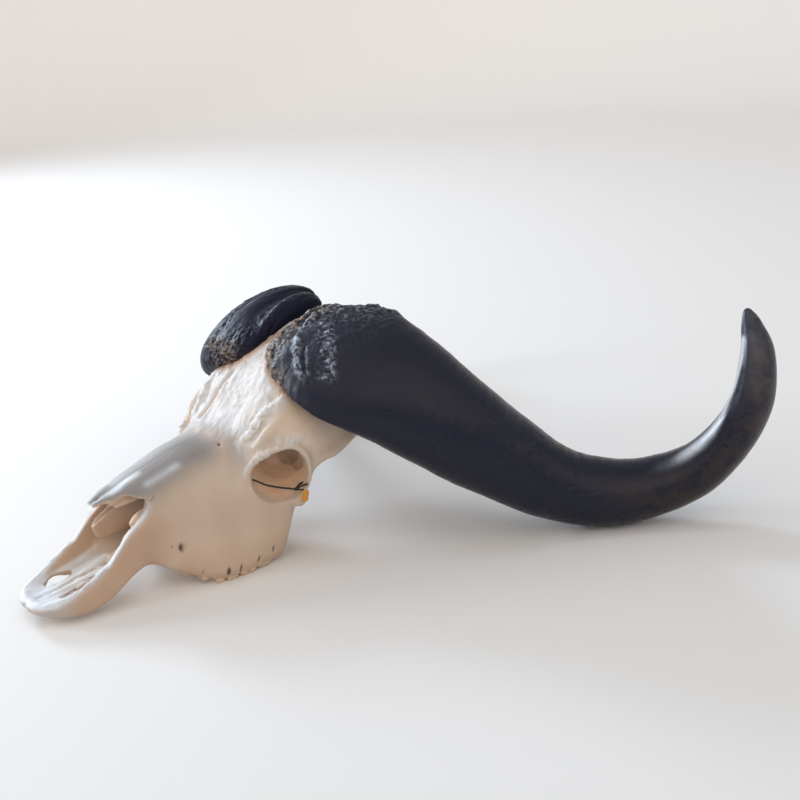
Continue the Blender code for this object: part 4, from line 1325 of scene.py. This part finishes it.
def bone_material():
    """Dry bone: warm beige, bleached where the sun reached it, stained and darker by the teeth, with
    painted light and painted shade in its hollows and on its sides.
    """
    n = Nodes("dry bone")
    broad = n.noise(n.place(), 9.0, 3.0)
    streaky = n.noise(n.place((210, 60, 90)), 1.0, 5.0, 0.6)
    fine = n.noise(n.place(), 420.0, 3.0)
    base = n.blend(n.ramp(broad, 0.35, 0.68), BONE_TAN, BONE_PINK)
    # Painted warm light
    base = n.over(base, BONE_WARM_LIGHT, "warm_light")
    # Sun bleach, with painted light on the temple and in the nose
    base = n.over(base, BONE_WHITE, "bleach_and_light", streaky, 0.30, 0.62, 0.70, 1.0)
    # Painted grey shade, and the window's cool light on the snout's end
    base = n.over(base, BONE_SHADE_GREY, "painted_grey_shade")
    # Painted highlights
    base = n.over(base, BONE_HIGHLIGHT, "painted_highlight", streaky, 0.30, 0.70, 0.60, 0.95)
    # Stain, and painted shade on the snout's sides
    base = n.over(base, BONE_STAIN_AND_SHADE, "browned", broad, 0.25, 0.7, 0.55, 1.0)
    pores = n.ramp(n.spots(n.place(), 260.0), 0.0, 0.22, 1.0, 0.0)
    base = n.blend(n.times(pores, 0.25), base, BONE_STAIN_AND_SHADE)
    base = n.blend(n.ramp(n.attribute("under_horn"), 0.0, 0.9, 0.0, 0.85), base, BONE_STAIN_AND_SHADE)
    # Dark marks and painted shade
    base = n.blend(n.ramp(n.attribute("marks_and_shade"), 0.25, 0.8), base, BONE_DARK)
    rough = n.math("SUBTRACT", n.ramp(fine, 0.3, 0.7, 0.52, 0.72), n.times(n.attribute("painted_grey_shade"), 0.12))
    return n.finished(base, rough, n.bump(fine, 0.25, 0.0003, n.bump(streaky, 0.35, 0.0009)))


def horn_material(name, gloss):
    """Near black keratin: dusty on its ridges, brown in its crust, worn paler at the tip, with a painted
    reflection where the sheath carries one.
    """
    n = Nodes(name + " keratin")
    mottle = n.noise(n.place(), 34.0, 5.0, 0.6)
    specks = n.noise(n.place(), 150.0, 5.0, 0.65)
    fine = n.noise(n.place(), 520.0, 4.0)
    drawn = n.noise(n.place((40, 40, 9)), 3.0, 3.0)
    height = n.attribute("height")
    base = n.over(HORN_BLACK, HORN_BROWN, "outer", mottle, 0.30, 0.75)
    raised = n.times(n.ramp(height, 0.44, 0.74, 0.10, 1.0), n.ramp(specks, 0.45, 0.60, 0.04))
    base = n.blend(n.times(n.attribute("rough"), raised), base, HORN_GREY)
    crust = n.times(n.attribute("edge"), n.ramp(specks, 0.41, 0.56))
    base = n.blend(n.times(crust, n.ramp(height, 0.36, 0.56)), base, HORN_CRUST)
    base = n.over(base, HORN_TIP, "tip", mottle, 0.2, 0.8, 0.05, 0.25)
    # Painted reflection
    streak = n.times(n.ramp(n.attribute("painted_reflection"), 0.05, 1.0), n.ramp(drawn, 0.30, 0.70, 0.72, 0.95))
    base = n.blend(streak, base, HORN_REFLECTION)
    n.shader.inputs["Specular IOR Level"].default_value = gloss
    rough = n.math("ADD", n.ramp(mottle, 0.3, 0.7, 0.24, 0.34), n.times(n.attribute("boss"), 0.16))
    return n.finished(base, rough, n.bump(fine, 0.2, 0.0003, n.bump(specks, 0.22, 0.0008)))


def tooth_material():
    """Worn teeth: ivory enamel under brown stain."""
    n = Nodes("stained tooth")
    browned = n.noise(n.place((1, 1, 0.35)), 210.0, 4.0)
    base = n.blend(n.ramp(browned, 0.40, 0.75), TOOTH_IVORY, TOOTH_BROWN)
    return n.finished(base, n.ramp(browned, 0.3, 0.7, 0.35, 0.55), n.bump(browned, 0.3, 0.0005))


def plain_material(name, colour, roughness):
    """One colour with a faint mottle."""
    n = Nodes(name)
    mottle = n.noise(n.place(), 600.0)
    darker = tuple(c * 0.75 for c in colour)
    base = n.blend(n.ramp(mottle, 0.35, 0.65), colour, darker)
    return n.finished(base, roughness, n.bump(mottle, 0.2, 0.0002))


# Stage, light and camera

def make_floor():
    """A round pale floor that curves up into a low wall far behind the object, open above."""
    profile = [(STAGE_RADIUS, 0.0)]
    for k in range(1, STAGE_CURVE_STEPS + 1):
        angle = math.pi / 2 * k / STAGE_CURVE_STEPS
        profile.append((STAGE_RADIUS + STAGE_CURVE * math.sin(angle), STAGE_CURVE * (1 - math.cos(angle))))
    profile.append((STAGE_RADIUS + STAGE_CURVE, STAGE_HEIGHT))
    turns = 2 * math.pi * np.arange(STAGE_SIDES) / STAGE_SIDES
    rings = [np.column_stack([radius * np.cos(turns), radius * np.sin(turns), np.full(STAGE_SIDES, height)])
             for radius, height in profile]
    verts, faces = skin_rings(rings)
    floor = mesh_object("floor", verts, [tuple(reversed(face)) for face in faces[:-1]])
    floor.data.shade_smooth()
    n = Nodes("pale floor")
    n.shader.inputs["Base Color"].default_value = (*FLOOR_PALE, 1)
    n.shader.inputs["Roughness"].default_value = 0.9
    floor.data.materials.append(n.material)


def make_world():
    """The room's soft light, brighter and warmer from the room's side."""
    world = bpy.data.worlds.new("studio")
    world.use_nodes = True
    tree = world.node_tree
    coords = tree.nodes.new("ShaderNodeTexCoord")
    toward_room = tree.nodes.new("ShaderNodeVectorMath")
    toward_room.operation = "DOT_PRODUCT"
    toward_room.inputs[1].default_value = ROOM_SIDE
    tree.links.new(coords.outputs["Generated"], toward_room.inputs[0])
    ramp = tree.nodes.new("ShaderNodeValToRGB")
    ramp.color_ramp.interpolation = "EASE"
    for stop, position, colour in zip(ramp.color_ramp.elements, (0.0, 0.8), (FAR_SIDE, NEAR_SIDE)):
        stop.position = position
        stop.color = (*colour, 1)
    tree.links.new(toward_room.outputs["Value"], ramp.inputs["Fac"])
    tree.links.new(ramp.outputs["Color"], tree.nodes["Background"].inputs["Color"])
    tree.nodes["Background"].inputs["Strength"].default_value = 1.0
    bpy.context.scene.world = world


def area_light(name, place, target, size, power, colour):
    """A round lamp that faces the target."""
    data = bpy.data.lights.new(name, "AREA")
    data.shape = "DISK"
    data.size = size
    data.energy = power
    data.color = colour
    lamp = bpy.data.objects.new(name, data)
    lamp.location = place
    lamp.rotation_euler = (Vector(target) - Vector(place)).to_track_quat("-Z", "Y").to_euler()
    bpy.context.scene.collection.objects.link(lamp)


def make_camera():
    """The camera, with its roll, as the photograph was taken."""
    azimuth = math.radians(CAMERA_AZIMUTH_DEG)
    elevation = math.radians(CAMERA_ELEVATION_DEG)
    back = Vector((math.sin(azimuth) * math.cos(elevation), -math.cos(azimuth) * math.cos(elevation),
                   math.sin(elevation)))
    right = (-back).cross(Vector((0, 0, 1))).normalized()
    up = right.cross(-back)
    level = Matrix((right, up, back)).transposed().to_4x4()
    data = bpy.data.cameras.new("camera")
    data.lens = CAMERA_LENS_MM
    data.sensor_width = CAMERA_SENSOR_MM
    camera = bpy.data.objects.new("camera", data)
    roll = Matrix.Rotation(math.radians(CAMERA_ROLL_DEG), 4, "Z")
    camera.matrix_world = Matrix.Translation(CAMERA_PLACE) @ level @ roll
    bpy.context.scene.collection.objects.link(camera)
    bpy.context.scene.camera = camera


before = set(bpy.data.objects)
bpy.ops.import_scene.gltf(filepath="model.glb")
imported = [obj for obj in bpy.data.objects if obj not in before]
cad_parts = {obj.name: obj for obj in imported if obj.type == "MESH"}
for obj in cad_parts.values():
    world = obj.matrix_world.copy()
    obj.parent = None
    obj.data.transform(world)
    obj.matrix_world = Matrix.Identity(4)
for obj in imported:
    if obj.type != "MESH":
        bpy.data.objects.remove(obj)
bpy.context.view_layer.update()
make_camera()
bpy.context.scene.view_settings.view_transform = "Standard"

bone = make_bone()
horns = [make_horn(*row) for row in HORNS]
paint_under_horns(bone, horns)
for side_name, sign in (("left", 1), ("right", -1)):
    for row in TEETH:
        make_tooth(side_name, sign, *row)
make_tie()
make_tag()
make_floor()
make_world()
for row in LIGHTS:
    area_light(*row)
